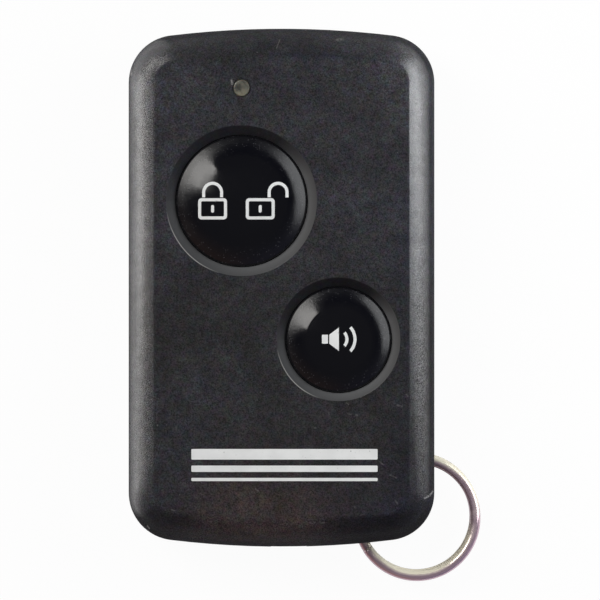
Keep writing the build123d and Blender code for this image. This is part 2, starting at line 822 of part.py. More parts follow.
with BuildPart() as encoder_pins:
    half_thick = chip_pin_thickness / 2
    pin_top = board_top + part_gap + chip_height / 2 + half_thick
    for side in (-1, 1):
        face_x = chip_x + side * chip_width / 2
        knee_x = face_x + side * chip_pin_reach / 2
        foot_x = face_x + side * chip_pin_reach
        for row in range(chip_pin_count):
            pin_y = chip_y + (row - (chip_pin_count - 1) / 2) * chip_pin_pitch
            with BuildSketch(upright(0, pin_y + chip_pin_width / 2)):
                with BuildLine():
                    Polyline(
                        (face_x, pin_top),
                        (knee_x + side * half_thick, pin_top),
                        (knee_x + side * half_thick, board_top + chip_pin_thickness),
                        (foot_x, board_top + chip_pin_thickness),
                        (foot_x, board_top),
                        (knee_x - side * half_thick, board_top),
                        (knee_x - side * half_thick, pin_top - chip_pin_thickness),
                        (face_x, pin_top - chip_pin_thickness),
                        close=True,
                    )
                make_face()
            extrude(amount=-chip_pin_width)
write(encoder_pins.part, "encoder_pins")

with BuildPart() as antenna_loop:
    with BuildSketch(Plane.XY.offset(board_top)):
        with Locations((loop_x, loop_y)):
            RectangleRounded(loop_length, loop_width, loop_corner_radius)
            RectangleRounded(
                loop_length - 2 * loop_strip,
                loop_width - 2 * loop_strip,
                loop_corner_radius - loop_strip,
                mode=Mode.SUBTRACT,
            )
        with Locations((loop_x, loop_y - loop_width / 2)):
            Rectangle(loop_gap, 3 * loop_strip, mode=Mode.SUBTRACT)
    extrude(amount=loop_thickness)
write(antenna_loop.part, "antenna_loop")

with BuildPart() as trimmer_body:
    with BuildSketch(Plane.XY.offset(board_top)):
        with Locations((trimmer_x, trimmer_y)):
            RectangleRounded(trimmer_side, trimmer_side, trimmer_corner)
    extrude(amount=trimmer_height)
write(trimmer_body.part, "trimmer_body")

with BuildPart() as trimmer_rotor:
    with BuildSketch(Plane.XY.offset(board_top + trimmer_height)):
        with Locations((trimmer_x, trimmer_y)):
            Circle(rotor_diameter / 2)
    extrude(amount=rotor_height)
    with Locations((trimmer_x, trimmer_y, board_top + trimmer_height + rotor_height)):
        Box(rotor_slot_length, rotor_slot_width, 2 * rotor_slot_depth, mode=Mode.SUBTRACT)
write(trimmer_rotor.part, "trimmer_rotor")

with BuildPart() as choke_coil:
    choke_z = board_top + choke_diameter / 2
    with Locations((choke_x, choke_y, choke_z)):
        Cylinder(choke_diameter / 2, choke_length, rotation=(0, 90, 0))
    fillet(choke_coil.edges().filter_by(GeomType.CIRCLE), choke_end_radius)
    lead_radius = choke_lead_diameter / 2
    for side in (-1, 1):
        with BuildSketch(Plane.YZ.offset(choke_x + side * choke_length / 2)):
            with Locations((choke_y, choke_z)):
                Circle(lead_radius)
        extrude(amount=side * (choke_lead_span - choke_length) / 2)
        with BuildSketch(Plane.XY.offset(board_top)):
            with Locations((choke_x + side * (choke_lead_span / 2 - lead_radius), choke_y)):
                Circle(lead_radius)
        extrude(amount=choke_z - board_top + lead_radius)
write(choke_coil.part, "choke_coil")

with BuildPart() as oscillator_transistor:
    with BuildSketch(Plane.XY.offset(board_top + part_gap)):
        with Locations((transistor_x, transistor_y)):
            Rectangle(transistor_length, transistor_width)
    extrude(amount=transistor_height, taper=transistor_draft)
    with BuildSketch(Plane.XY.offset(board_top)):
        with Locations((transistor_x, transistor_y - transistor_width / 2)):
            with GridLocations(transistor_leg_pitch, 0, 2, 1):
                Rectangle(transistor_leg_width, transistor_leg_length)
        with Locations((transistor_x, transistor_y + transistor_width / 2)):
            Rectangle(transistor_leg_width, transistor_leg_length)
    extrude(amount=transistor_leg_height)
write(oscillator_transistor.part, "oscillator_transistor")

for name, middle_x, middle_y, columns, rows in (
    ("chip_resistors", resistor_x, resistor_y, 2, 3),
    ("chip_capacitors", capacitor_x, capacitor_y, 1, 3),
):
    with BuildPart() as chip_parts:
        with BuildSketch(Plane.XY.offset(board_top)):
            with Locations((middle_x, middle_y)):
                with GridLocations(chip_part_step_x, chip_part_step_y, columns, rows):
                    Rectangle(chip_part_length, chip_part_width)
        extrude(amount=chip_part_height)
    write(chip_parts.part, name)

# Screws
case_screw_head_height = (case_screw_head_diameter - case_screw_diameter) / 2
case_screw = screw(
    post_x,
    post_y,
    case_screw_sink,
    case_screw_length,
    case_screw_diameter,
    case_screw_head_diameter,
    case_screw_head_height,
    countersunk=True,
)
write(case_screw, "case_screw")
board_screws = [
    screw(
        screw_x,
        screw_y,
        board_bottom - board_screw_head_height,
        board_screw_head_height + board_screw_length,
        board_screw_diameter,
        board_screw_head_diameter,
        board_screw_head_height,
        countersunk=False,
    )
    for screw_x, screw_y in board_screw_places
]
write(Compound(children=board_screws), "board_screws")


def ring_point(angle, height):
    """A point on the ring's centreline, at an angle in degrees from its split."""
    turn = math.radians(ring_split_angle + angle)
    radius = (ring_diameter - ring_wire) / 2
    return Vector(ring_x + radius * math.cos(turn), ring_y + radius * math.sin(turn), height)


def ring_heading(angle):
    """The way that the wire runs there, counter-clockwise."""
    turn = math.radians(ring_split_angle + angle)
    return Vector(-math.sin(turn), math.cos(turn), 0)


# The split ring's wire: a high turn from its visible end, a step down through the split, and a low turn
low_z = pocket_floor + ring_floor_gap + ring_wire / 2
high_z = low_z + ring_wire + ring_turn_gap
step = ring_step_angle / 2
step_start = ring_point(-step, high_z)
step_end = ring_point(step, low_z)
chord = step_end - step_start
start_heading = ring_heading(-step)
end_heading = ring_heading(step)
both = start_heading + end_heading
closing = 2 * (1 - start_heading.dot(end_heading))
reach = (-chord.dot(both) + math.sqrt(chord.dot(both) ** 2 + closing * chord.dot(chord))) / closing
step_joint = (step_start + start_heading * reach + step_end - end_heading * reach) * 0.5
with BuildPart() as split_ring:
    with BuildLine() as ring_path:
        ThreePointArc(
            ring_point(step + ring_end_angle - 360, high_z),
            ring_point((ring_end_angle - 360) / 2, high_z),
            step_start,
        )
        TangentArc(step_start, step_joint, tangent=start_heading)
        TangentArc(step_end, step_joint, tangent=end_heading * -1)
        ThreePointArc(
            step_end,
            ring_point((360 - ring_end_angle) / 2, low_z),
            ring_point(360 - step - ring_end_angle, low_z),
        )
    with BuildSketch(Plane(origin=ring_path.line @ 0, z_dir=ring_path.line % 0)):
        Circle(ring_wire / 2)
    sweep(path=ring_path.line)
write(split_ring.part, "split_ring")

samples = 720
quarter_turn = samples // 8
points = [ring_path.line @ (i / samples) for i in range(samples + 1)]
least = min((a - b).length for i, a in enumerate(points) for b in points[i + quarter_turn :])
print("split ring: least gap to itself", round(least - ring_wire, 3))
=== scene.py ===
"""The looks of a two-button car key fob: the finish of every piece, the marks printed on it, a finer
split ring, and a plain studio seen from straight above.

Lengths are in metres. Names that end in _mm are in millimetres, as are the sizes given to the
texture helpers.
"""

import math
from types import SimpleNamespace

import bmesh
import bpy
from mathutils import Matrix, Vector
from mathutils.bvhtree import BVHTree
from mathutils.geometry import tessellate_polygon


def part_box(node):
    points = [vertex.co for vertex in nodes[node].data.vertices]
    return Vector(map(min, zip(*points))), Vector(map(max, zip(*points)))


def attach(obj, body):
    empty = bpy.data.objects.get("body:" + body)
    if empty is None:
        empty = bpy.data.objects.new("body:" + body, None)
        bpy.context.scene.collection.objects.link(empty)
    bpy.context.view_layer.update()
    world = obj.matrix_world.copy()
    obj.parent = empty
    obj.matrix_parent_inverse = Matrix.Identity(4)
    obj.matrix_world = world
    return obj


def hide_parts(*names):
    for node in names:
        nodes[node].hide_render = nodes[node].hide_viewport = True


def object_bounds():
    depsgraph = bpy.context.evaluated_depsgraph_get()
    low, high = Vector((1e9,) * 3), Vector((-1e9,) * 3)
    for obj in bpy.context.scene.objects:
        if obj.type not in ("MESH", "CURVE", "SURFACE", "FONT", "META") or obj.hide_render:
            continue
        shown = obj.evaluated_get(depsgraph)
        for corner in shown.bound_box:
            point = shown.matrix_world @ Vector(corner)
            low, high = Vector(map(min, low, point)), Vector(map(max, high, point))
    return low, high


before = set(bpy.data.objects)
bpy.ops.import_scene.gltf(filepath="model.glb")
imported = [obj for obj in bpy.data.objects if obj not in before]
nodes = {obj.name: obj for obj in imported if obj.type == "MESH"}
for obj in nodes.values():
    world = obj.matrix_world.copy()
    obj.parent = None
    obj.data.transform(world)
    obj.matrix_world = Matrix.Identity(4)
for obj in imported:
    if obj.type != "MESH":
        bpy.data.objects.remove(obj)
cad_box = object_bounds()

MM = 0.001

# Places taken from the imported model
face_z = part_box("front_shell")[1].z
arm_low, arm_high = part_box("arm_button")
panic_low, panic_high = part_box("panic_button")
lens_low, lens_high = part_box("lamp_lens")
ring_low, ring_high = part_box("split_ring")
arm_middle = (arm_low + arm_high) / 2
panic_middle = (panic_low + panic_high) / 2
lens_middle = (lens_low + lens_high) / 2
ring_middle = (ring_low + ring_high) / 2

# The camera looks straight down through a very long lens, and sees a square of this span round this
# point. Its lens and sensor are in mm, as Blender has them, and its reach is how far off it still sees
picture_span = 0.07054
picture_middle = (0.002175, -0.001446)
camera_lens = 1400.0
camera_sensor = 36.0
camera_height = picture_span * camera_lens / camera_sensor
camera_reach = 20.0

# Lights: the way each lies from the object, as a bearing from +X and an angle from straight up in
# degrees, how far off it stands, how much higher it is raised, its width and height, its glow and
# its colour
lights = {
    "window": (145.0, 90.0, 0.60, 1.08, (0.37, 1.66), 6.2, (1.0, 0.98, 0.95)),
    "left_side": (180.0, 91.3, 0.085, 0.0, (0.085, 0.020), 2.6, (1.0, 0.99, 0.97)),
    "right_side": (20.0, 63.0, 0.16, 0.0, (0.17, 0.13), 3.2, (0.96, 0.98, 1.0)),
}

# What the surroundings shine on the object: from overhead, from beyond the lamp's end, low and higher
# up, and from the ring's end, left and right
overhead_glow = (0.100, 0.102, 0.112)
back_low_glow = (0.50, 0.48, 0.44)
back_glow = (0.022, 0.026, 0.042)
near_left_glow = (0.25, 0.155, 0.125)
near_right_glow = (0.115, 0.115, 0.19)

# The floor: half its width, how far it lies below the object, and how bright it looks to the camera
# and in reflections, as a share of white
floor_reach = 12.0
floor_drop_mm = 0.02
floor_glow = 0.96
floor_glow_in_gloss = 0.35

# The dished rims round the two buttons: the middle of each, and how far from it the rim ends
arm_cap_width_mm = 15.35
arm_rim_width_mm = 1.2
panic_cap_width_mm = 12.35
panic_rim_width_mm = 1.1
rims = (
    (arm_middle, (arm_cap_width_mm / 2 + arm_rim_width_mm) * MM),
    (panic_middle, (panic_cap_width_mm / 2 + panic_rim_width_mm) * MM),
)
well_depth_mm = 0.9

# The split ring: a flattened wire wound twice, its turns lying on each other. Angles along the
# winding are in degrees: its top end, the step down to the lower turn, its low end, the pace at which
# sections are drawn, and the bevel of each end, where the wire shrinks to a share of its size
wire_width_mm = 1.20
wire_height_mm = 1.06
wire_sides = 24
wire_roundness = 2.0 / 2.15
turn_gap_mm = 0.06
ring_top_end = 212.0
ring_step_start = 539.0
ring_step_end = 565.0
ring_low_end = 892.0
ring_station_step = 2.0
ring_end_bevel = 0.6
ring_end_share = 0.86
low_turn_shift_mm = (-0.10, 0.20)

# Prints: how far they reach above and into the surface that carries them, the grid they are cut along
# to follow it, the width of their lines, and how far above the case the rays that find it start
print_rise_mm = 0.014
print_sink_mm = 0.020
print_grid_mm = 0.35
print_line_mm = 0.36
ray_start_mm = 5.0

# The padlocks on the large button: the body, its outer and inner corners, the keyhole with the flat
# left at its ends, the bow, and how far right of the button's middle each lock stands
lock_body_mm = (3.4, 2.5)
lock_corners_mm = (0.40, 0.14)
keyhole_height_mm = 0.9
keyhole_flat_mm = 0.02
lock_bow_radius_mm = 1.05
lock_leg_mm = 0.6
lock_gap_mm = 0.10
closed_lock_shift_mm = -3.4
open_lock_shift_mm = 2.2

# The horn on the small button, how far right of the button's middle it stands, and how far its arcs
# of sound reach to each side, in degrees
horn_reach_mm = 2.1
horn_corner_mm = 0.10
horn_shift_mm = 0.3
sound_half_angle = 42.0

# The stripes on the case, from the uppermost down
stripe_heights_mm = (1.25, 0.75, 0.38)
stripe_gap_mm = 0.70
stripe_width_mm = 21.9
stripe_corner_mm = 0.12
stripes_middle_mm = (0.35, -20.85)

# The blacks of the case: under a painted cool light, bare, in painted shade at its low end, and
# under a painted warm reflection there. The low end is the one with the ring, at -Y
cool_lit_black = (0.0303, 0.0308, 0.0365)
plain_black = (0.0222, 0.0220, 0.0240)
shaded_black = (0.0172, 0.0168, 0.0232)
warm_reflection_black = (0.0375, 0.0290, 0.0285)

# Where the painted light, shade and reflections in the tone of the case change, in mm along X or Y
# or from a point: each change starts at the first number of a pair and is full at the second. The
# start of the painted shade at the low end wanders to both sides, and each lit spot has its place
# and how much lighter it is
cool_light_y_mm = (-3.0, 6.0)
mid_height_y_mm = (18.0, 10.0)
low_end_y_mm = (-18.0, -26.0)
low_end_wander_mm = 4.0
low_left_x_mm = (-6.0, -10.0)
low_left_y_mm = (-7.0, -12.0)
warm_light_x_mm = -2.5
warm_reflection_reach_mm = (13.0, 4.0)
low_bevel_light_reach_mm = (12.0, 5.0)
right_shadow_x_mm = (11.8, 14.0)
top_shadow_x_mm = (-4.0, 2.0)
top_shadow_low_y_mm = (26.2, 27.7)
top_shadow_high_y_mm = (29.6, 28.8)
lit_spots_mm = (((14.0, 25.5), 1.45), ((-14.8, 22.8), 1.40))
lit_spot_reach_mm = (8.5, 2.0)

# Where the rubbed edges of the case end and thin out, in the same way; their depth is below the face.
# The two slopes say how far such a place moves along Y as the surface turns
rubbed_depth_mm = (6.4, 5.6)
left_end_y_mm = (-37.0, -32.0)
left_end_slope_mm = 14.0
right_end_y_mm = (-25.1, -23.8)
right_thinning_y_mm = (72.5, 22.5)
right_thinning_slope_mm = 85.0
left_thinning_y_mm = (6.0, -14.0)
top_thinning_y_mm = (28.5, 23.5)
sparkle_y_mm = (10.0, -10.0)

# The painted highlight on the lips of the wells, a pale hair line: how far from a lip it starts to
# fade and ends, the way from a button's middle to the line's, and how far that way, in radii, it
# starts and is full
lip_line_mm = (0.02, 0.08)
lip_direction = (-0.76, -0.65, 0.0)
lip_reach = (0.84, 0.98)

# The lens: its dark spot's place beside the middle and its radii, and the radii of its pale rim
lens_spot_shift_mm = (-0.40, 0.05)
lens_spot_mm = (0.10, 0.55)
lens_rim_mm = (0.80, 1.05)

# Marks of use on the case: start, end and width of each in mm
bright_marks = [
    ((-17.85, 25.60), (-17.78, 25.15), 0.28),
    ((16.85, -24.75), (17.45, -24.45), 0.16),
    ((17.45, -24.45), (17.80, -24.00), 0.16),
    ((-5.88, 24.35), (-5.80, 24.00), 0.19),
    ((-15.78, -28.05), (-15.58, -28.32), 0.12),
]
faint_marks = [
    ((12.76, -22.02), (13.46, -22.37), 0.14),
    ((-0.18, 29.24), (-0.58, 28.18), 0.10),
    ((-3.10, -23.60), (-2.70, -23.95), 0.12),
    ((6.45, 29.15), (7.20, 29.20), 0.22),
    ((7.60, -13.55), (7.90, -13.75), 0.12),
    ((5.55, -14.65), (5.62, -14.85), 0.12),
    ((7.85, -14.80), (8.15, -14.88), 0.14),
    ((8.80, -14.95), (8.90, -15.00), 0.16),
    ((3.92, -16.50), (3.98, -16.50), 0.16),
    ((13.60, -13.80), (14.10, -13.95), 0.16),
    ((14.70, -12.55), (14.80, -12.70), 0.18),
    ((11.50, -20.40), (11.95, -20.80), 0.12),
    ((13.45, -25.10), (13.60, -25.40), 0.16),
    ((8.60, -25.80), (8.75, -25.90), 0.14),
    ((3.40, -27.65), (3.90, -27.60), 0.20),
    ((4.50, -27.55), (4.95, -27.62), 0.20),
    ((-14.60, -16.15), (-14.55, -16.25), 0.12),
    ((-12.90, -26.10), (-12.60, -26.25), 0.14),
    ((-8.50, -27.50), (-8.30, -27.60), 0.16),
    ((3.98, 16.70), (4.06, 16.62), 0.14),
]
dark_marks = [
    ((15.95, -11.05), (16.10, -11.40), 0.30),
    ((-17.35, 17.20), (-17.30, 16.60), 0.25),
    ((-15.98, -27.80), (-15.90, -27.95), 0.12),
]


def put(socket, value):
    """Sets a socket to a number or a colour, or links another node's output to it."""
    if isinstance(value, bpy.types.NodeSocket):
        socket.id_data.links.new(value, socket)
    elif hasattr(value, "__len__") and len(value) == 3 and socket.type == "RGBA":
        socket.default_value = (*value, 1.0)
    else:
        socket.default_value = value


def add_node(tree, kind, settings=(), **inputs):
    """Adds a node with its own settings. Inputs go by name, with _ for a space, or as in0, in1."""
    made = tree.nodes.new(kind)
    for name, value in dict(settings).items():
        setattr(made, name, value)
    for name, value in inputs.items():
        if name[:2] == "in" and name[2:].isdigit():
            put(made.inputs[int(name[2:])], value)
        else:
            put(made.inputs[name.replace("_", " ")], value)
    return made


def surface_point(tree):
    """The point on the surface, in the part's own frame."""
    return add_node(tree, "ShaderNodeTexCoord").outputs["Object"]


def surface_normal(tree):
    """The way the surface faces, as three numbers. The last is 1 where it is flat, 0 where upright."""
    facing = add_node(tree, "ShaderNodeTexCoord").outputs["Normal"]
    return add_node(tree, "ShaderNodeSeparateXYZ", Vector=facing).outputs


def maths(tree, operation, a, b=0.0, clamp=False):
    """One sum on two numbers."""
    settings = {"operation": operation, "use_clamp": clamp}
    return add_node(tree, "ShaderNodeMath", settings, in0=a, in1=b).outputs[0]


def product(tree, first, *others):
    """Numbers multiplied together."""
    for other in others:
        first = maths(tree, "MULTIPLY", first, other)
    return first


def largest(tree, first, *others):
    """The largest of some numbers."""
    for other in others:
        first = maths(tree, "MAXIMUM", first, other)
    return first


def left_over(tree, share):
    """What a share leaves of 1."""
    return maths(tree, "SUBTRACT", 1.0, share)


def vectors(tree, operation, a, b):
    """One sum on two vectors, as a node."""
    return add_node(tree, "ShaderNodeVectorMath", {"operation": operation}, in0=a, in1=b)


def vector_sum(tree, operation, a, b):
    """One sum on two vectors that gives a vector."""
    return vectors(tree, operation, a, b).outputs[0]


def spread(tree, value, low, high, start=0.0, end=1.0):
    """Maps low..high onto start..end, and holds it there."""
    made = add_node(
        tree, "ShaderNodeMapRange", Value=value, From_Min=low, From_Max=high, To_Min=start, To_Max=end
    )
    return made.outputs[0]


def spread_mm(tree, value, ends_mm, start=0.0, end=1.0):
    """Maps a length in metres, between two given in mm, onto start..end, and holds it there."""
    return spread(tree, value, ends_mm[0] * MM, ends_mm[1] * MM, start, end)


def between(tree, share, first, second):
    """The number that lies a share of the way from one to another."""
    return spread(tree, share, 0.0, 1.0, first, second)


def cloud(tree, point, size_mm, detail, roughness=0.5, output=0):
    """Soft noise whose patches are about size_mm across. Output 1 is a colour."""
    settings = {"Scale": 1.0 / (size_mm * MM), "Detail": detail, "Roughness": roughness}
    return add_node(tree, "ShaderNodeTexNoise", Vector=point, **settings).outputs[output]


def stretched(tree, point, turn, stretch):
    """The point turned about Z and scaled, so that what is drawn on it comes out drawn out."""
    made = add_node(tree, "ShaderNodeMapping", Vector=point, Rotation=(0.0, 0.0, turn), Scale=stretch)
    return made.outputs[0]


def tint(tree, share, first, second):
    """Blends two colours."""
    made = add_node(tree, "ShaderNodeMix", {"data_type": "RGBA", "blend_type": "MIX"}, in0=share)
    put(made.inputs[6], first)
    put(made.inputs[7], second)
    return made.outputs[2]


def scaled(tree, vector, share):
    """A vector, or a colour taken as one, times a number."""
    made = add_node(tree, "ShaderNodeVectorMath", {"operation": "SCALE"}, in0=vector)
    put(made.inputs["Scale"], share)
    return made.outputs[0]


def grain_tint(tree, noise_colour):
    """A coloured noise spread out round 1, so that it can multiply a colour."""
    wide = vector_sum(tree, "MULTIPLY", noise_colour, (4.0, 4.0, 4.0))
    centred = vector_sum(tree, "SUBTRACT", wide, (1.0, 1.0, 1.0))
    return vector_sum(tree, "MAXIMUM", centred, (0.1, 0.1, 0.1))


def relief(tree, height, depth_mm, strength, below=None):
    """Turns a height into a bent normal, on top of the one below if there is one."""
    made = add_node(tree, "ShaderNodeBump", Height=height, Distance=depth_mm * MM, Strength=strength)
    if below is not None:
        put(made.inputs["Normal"], below)
    return made.outputs[0]


def finish(name, colour, roughness, **shader_values):
    """A material whose shader has plain values, ready for its textures."""
    material = bpy.data.materials.new(name)
    material.use_nodes = True
    shader = material.node_tree.nodes["Principled BSDF"]
    put(shader.inputs["Base Color"], colour)
    put(shader.inputs["Roughness"], roughness)
    for socket, value in shader_values.items():
        put(shader.inputs[socket.replace("_", " ")], value)
    return material, material.node_tree, shader


def flattened(tree, point):
    """The point laid down on Z = 0."""
    return vector_sum(tree, "MULTIPLY", point, (1.0, 1.0, 0.0))


def distance_to(tree, point, place):
    """How far the point lies from an upright line through a place, in metres."""
    foot = (place[0], place[1], 0.0)
    return vectors(tree, "DISTANCE", flattened(tree, point), foot).outputs["Value"]


def stroke(tree, point, start_mm, end_mm, width_mm):
    """1 along a short straight mark between two points on the face, fading to 0 at its sides."""
    start, end = (Vector((x * MM, y * MM, 0.0)) for x, y in (start_mm, end_mm))
    along = end - start
    offset = vector_sum(tree, "SUBTRACT", flattened(tree, point), start)
    share = vectors(tree, "DOT_PRODUCT", offset, along / along.length_squared).outputs["Value"]
    foot = scaled(tree, along, maths(tree, "ADD", share, 0.0, clamp=True))
    gap = vectors(tree, "DISTANCE", offset, foot).outputs["Value"]
    return spread(tree, gap, 0.0, width_mm * MM, 1.0, 0.0)


def strokes(tree, point, marks):
    """All of a list of marks in one mask."""
    return largest(tree, 0.0, *[stroke(tree, point, *mark) for mark in marks])


def fine_scratches(tree, point, turn, length_mm, width_mm, share):
    """Hair-thin streaks that run one way, in loose patches."""
    drawn = stretched(tree, point, turn, (1.0, width_mm / length_mm, 1.0))
    streaks = cloud(tree, drawn, width_mm * 2.2, detail=1.0)
    thin = spread(tree, streaks, 1.0 - share, 1.0 - share + 0.06)
    patches = spread(tree, cloud(tree, point, 9.0, detail=1.0), 0.45, 0.65)
    return product(tree, thin, patches)


def specks(tree, point, spacing_mm, radius_mm, share):
    """Small round specks, on a share of the cells of a scattered grid."""
    cells = add_node(tree, "ShaderNodeTexVoronoi", Vector=point, Scale=1.0 / (spacing_mm * MM))
    reach = radius_mm / spacing_mm
    near = spread(tree, cells.outputs["Distance"], reach * 0.5, reach, 1.0, 0.0)
    chosen = add_node(tree, "ShaderNodeSeparateColor", Color=cells.outputs["Color"]).outputs[0]
    return product(tree, near, maths(tree, "LESS_THAN", chosen, share))


def in_wells(tree, point):
    """1 on the dished rims round the two buttons, 0 elsewhere."""
    height = add_node(tree, "ShaderNodeSeparateXYZ", Vector=point).outputs[2]
    inside = 0.0
    for middle, reach in rims:
        off = distance_to(tree, point, middle)
        inside = largest(tree, inside, maths(tree, "LESS_THAN", off, reach))
    in_front = maths(tree, "GREATER_THAN", height, face_z - 2 * well_depth_mm * MM)
    return product(tree, inside, in_front)


def well_lip_highlights(tree, point):
    """1 on a hair line along the lower left of each dished rim: a painted highlight."""
    lip_highlights = 0.0
    for middle, reach in rims:
        off = maths(tree, "SUBTRACT", distance_to(tree, point, middle), reach)
        line = spread_mm(tree, maths(tree, "ABSOLUTE", off), lip_line_mm, 1.0, 0.0)
        offset = vector_sum(tree, "SUBTRACT", point, middle)
        aside = vectors(tree, "DOT_PRODUCT", offset, lip_direction).outputs["Value"]
        side = spread(tree, aside, reach * lip_reach[0], reach * lip_reach[1])
        lip_highlights = largest(tree, lip_highlights, product(tree, line, side))
    return lip_highlights


def case_surface(tree):
    """What the looks of the case share: where a point lies, how it faces, and noise."""
    point = surface_point(tree)
    x, y, z = add_node(tree, "ShaderNodeSeparateXYZ", Vector=point).outputs
    facing_right, facing_lamp_end, up = surface_normal(tree)
    wells = in_wells(tree, point)
    return SimpleNamespace(
        point=point,
        x=x,
        y=y,
        z=z,
        facing_right=facing_right,
        facing_lamp_end=facing_lamp_end,
        up=up,
        film=cloud(tree, point, 14.0, detail=3.0, roughness=0.6),
        mottle=cloud(tree, point, 1.3, detail=4.0, roughness=0.7),
        grain=cloud(tree, point, 0.17, detail=3.0, roughness=0.75),
        from_warm_light=maths(tree, "ABSOLUTE", maths(tree, "ADD", x, -warm_light_x_mm * MM)),
        mid_height=spread_mm(tree, y, mid_height_y_mm),
        leftward=spread(tree, facing_right, -0.15, -0.40),
        on_top=spread(tree, up, 0.10, 0.30),
        wells=wells,
        outside=left_over(tree, wells),
        grain_depth=between(tree, wells, 1.0, 0.35),
    )


def case_tone(tree, case):
    """The black of the case, with a painted cool light at the lamp's end, painted shade at the low
    end and a painted warm reflection amid it.
    """
    # Painted cool light at the lamp's end, with a noisy edge, and a little in the lower left
    cool_light_edge = spread(tree, case.film, 0.62, 0.42, 0.55, 1.0)
    cool_light = product(tree, spread_mm(tree, case.y, cool_light_y_mm), cool_light_edge)
    cool_light = largest(tree, cool_light, spread(tree, case.film, 0.50, 0.38, 0.0, 0.45))
    low_left = product(
        tree, spread_mm(tree, case.x, low_left_x_mm), spread_mm(tree, case.y, low_left_y_mm)
    )
    cool_light = largest(tree, cool_light, product(tree, low_left, 0.75))
    tone = tint(tree, cool_light, plain_black, cool_lit_black)

    wander = spread(tree, case.film, 0.3, 0.7, -low_end_wander_mm * MM, low_end_wander_mm * MM)
    low_end = spread_mm(tree, maths(tree, "ADD", case.y, wander), low_end_y_mm)
    # Painted shade at the low end, weaker in the lower left, then a painted warm reflection amid it
    dark = product(tree, low_end, between(tree, low_left, 1.0, 0.5))
    tone = tint(tree, dark, tone, shaded_black)
    warm_reflection = product(tree, low_end, spread_mm(tree, case.from_warm_light, warm_reflection_reach_mm))
    warm_reflection = product(tree, warm_reflection, spread(tree, case.up, 0.15, 0.70))
    return tint(tree, warm_reflection, tone, warm_reflection_black)


def case_shading(tree, case, tone):
    """The tone with painted light and shade: lighter or darker by how the surface faces and where
    it lies, in painted shade in the wells, with painted shadows and lit spots.
    """
    # Painted light and shade: lighter where the surface faces the low end, darker where it faces the
    # lamp's end, and the low bevel darker towards its corners
    turned = scaled(tree, tone, spread(tree, case.facing_lamp_end, -0.40, 0.30, 1.40, 0.72))
    low_bevel_light = spread_mm(tree, case.from_warm_light, low_bevel_light_reach_mm, 0.42, 1.0)
    turned = scaled(tree, turned, spread(tree, case.facing_lamp_end, -0.12, -0.40, 1.0, low_bevel_light))
    # Painted shade: the wells are darker
    tone = tint(tree, case.outside, scaled(tree, tone, 0.70), turned)

    beside_right = product(tree, spread_mm(tree, case.x, right_shadow_x_mm), case.mid_height)
    below_top = product(
        tree,
        spread_mm(tree, case.y, top_shadow_low_y_mm),
        spread_mm(tree, case.x, top_shadow_x_mm),
        spread_mm(tree, case.y, top_shadow_high_y_mm),
    )
    shadow = largest(tree, product(tree, beside_right, 0.5), below_top)
    shadow = product(tree, shadow, spread(tree, case.up, 0.86, 0.94))
    tone = tint(tree, shadow, tone, vector_sum(tree, "MULTIPLY", tone, (0.60, 0.65, 0.82)))
    for (spot_x, spot_y), gain in lit_spots_mm:
        off = distance_to(tree, case.point, (spot_x * MM, spot_y * MM))
        tone = scaled(tree, tone, spread_mm(tree, off, lit_spot_reach_mm, 1.0, gain))
    return tone


def case_grain(tree, case, tone):
    """The tone with its grain, coloured a little, its mottling, and specks of dust."""
    patches = cloud(tree, case.point, 4.0, detail=3.0, roughness=0.6)
    tones = product(
        tree,
        spread(tree, case.mottle, 0.3, 0.7, 0.75, 1.25),
        spread(tree, patches, 0.3, 0.7, 0.78, 1.22),
        spread(tree, case.grain, 0.34, 0.66, 0.22, 1.78),
    )
    grain_colour = cloud(tree, case.point, 0.75, detail=3.0, roughness=0.6, output=1)
    coloured = vector_sum(tree, "MULTIPLY", tone, grain_tint(tree, grain_colour))
    tone = tint(tree, 0.24, tone, coloured)
    tone = tint(tree, case.grain_depth, tone, scaled(tree, tone, tones))
    small = specks(tree, case.point, spacing_mm=1.5, radius_mm=0.09, share=0.12)
    large = specks(tree, case.point, spacing_mm=3.1, radius_mm=0.12, share=0.25)
    return tint(tree, product(tree, largest(tree, small, large), 0.40), tone, (0.16, 0.16, 0.17))


def case_wells(tree, case, tone):
    """The tone with dust in the wells, painted lighter deeper down and where the rims face left, and
    less of it where they face the low end, which stay in painted shade; and with painted highlights
    on their lips.
    """
    aside = maths(tree, "SUBTRACT", case.facing_lamp_end, product(tree, case.facing_right, 0.3))
    lit_dust_share = product(
        tree, case.wells, spread(tree, case.up, 0.985, 0.90), spread(tree, aside, -0.45, -0.05)
    )
    # Dust and painted light: the dust is lighter deeper down, and where the rim faces left
    deep = spread(tree, case.z, face_z, face_z - well_depth_mm * MM)
    dust = tint(tree, deep, (0.060, 0.061, 0.063), (0.108, 0.110, 0.112))
    dust = scaled(tree, dust, spread(tree, case.facing_right, -0.45, 0.45, 1.34, 0.78))
    tone = tint(tree, product(tree, lit_dust_share, 0.9), tone, dust)
    lip_highlights = product(tree, well_lip_highlights(tree, case.point), case.on_top)
    # Painted highlights on the lower left lips of the wells
    return tint(tree, lip_highlights, tone, (0.26, 0.26, 0.25))


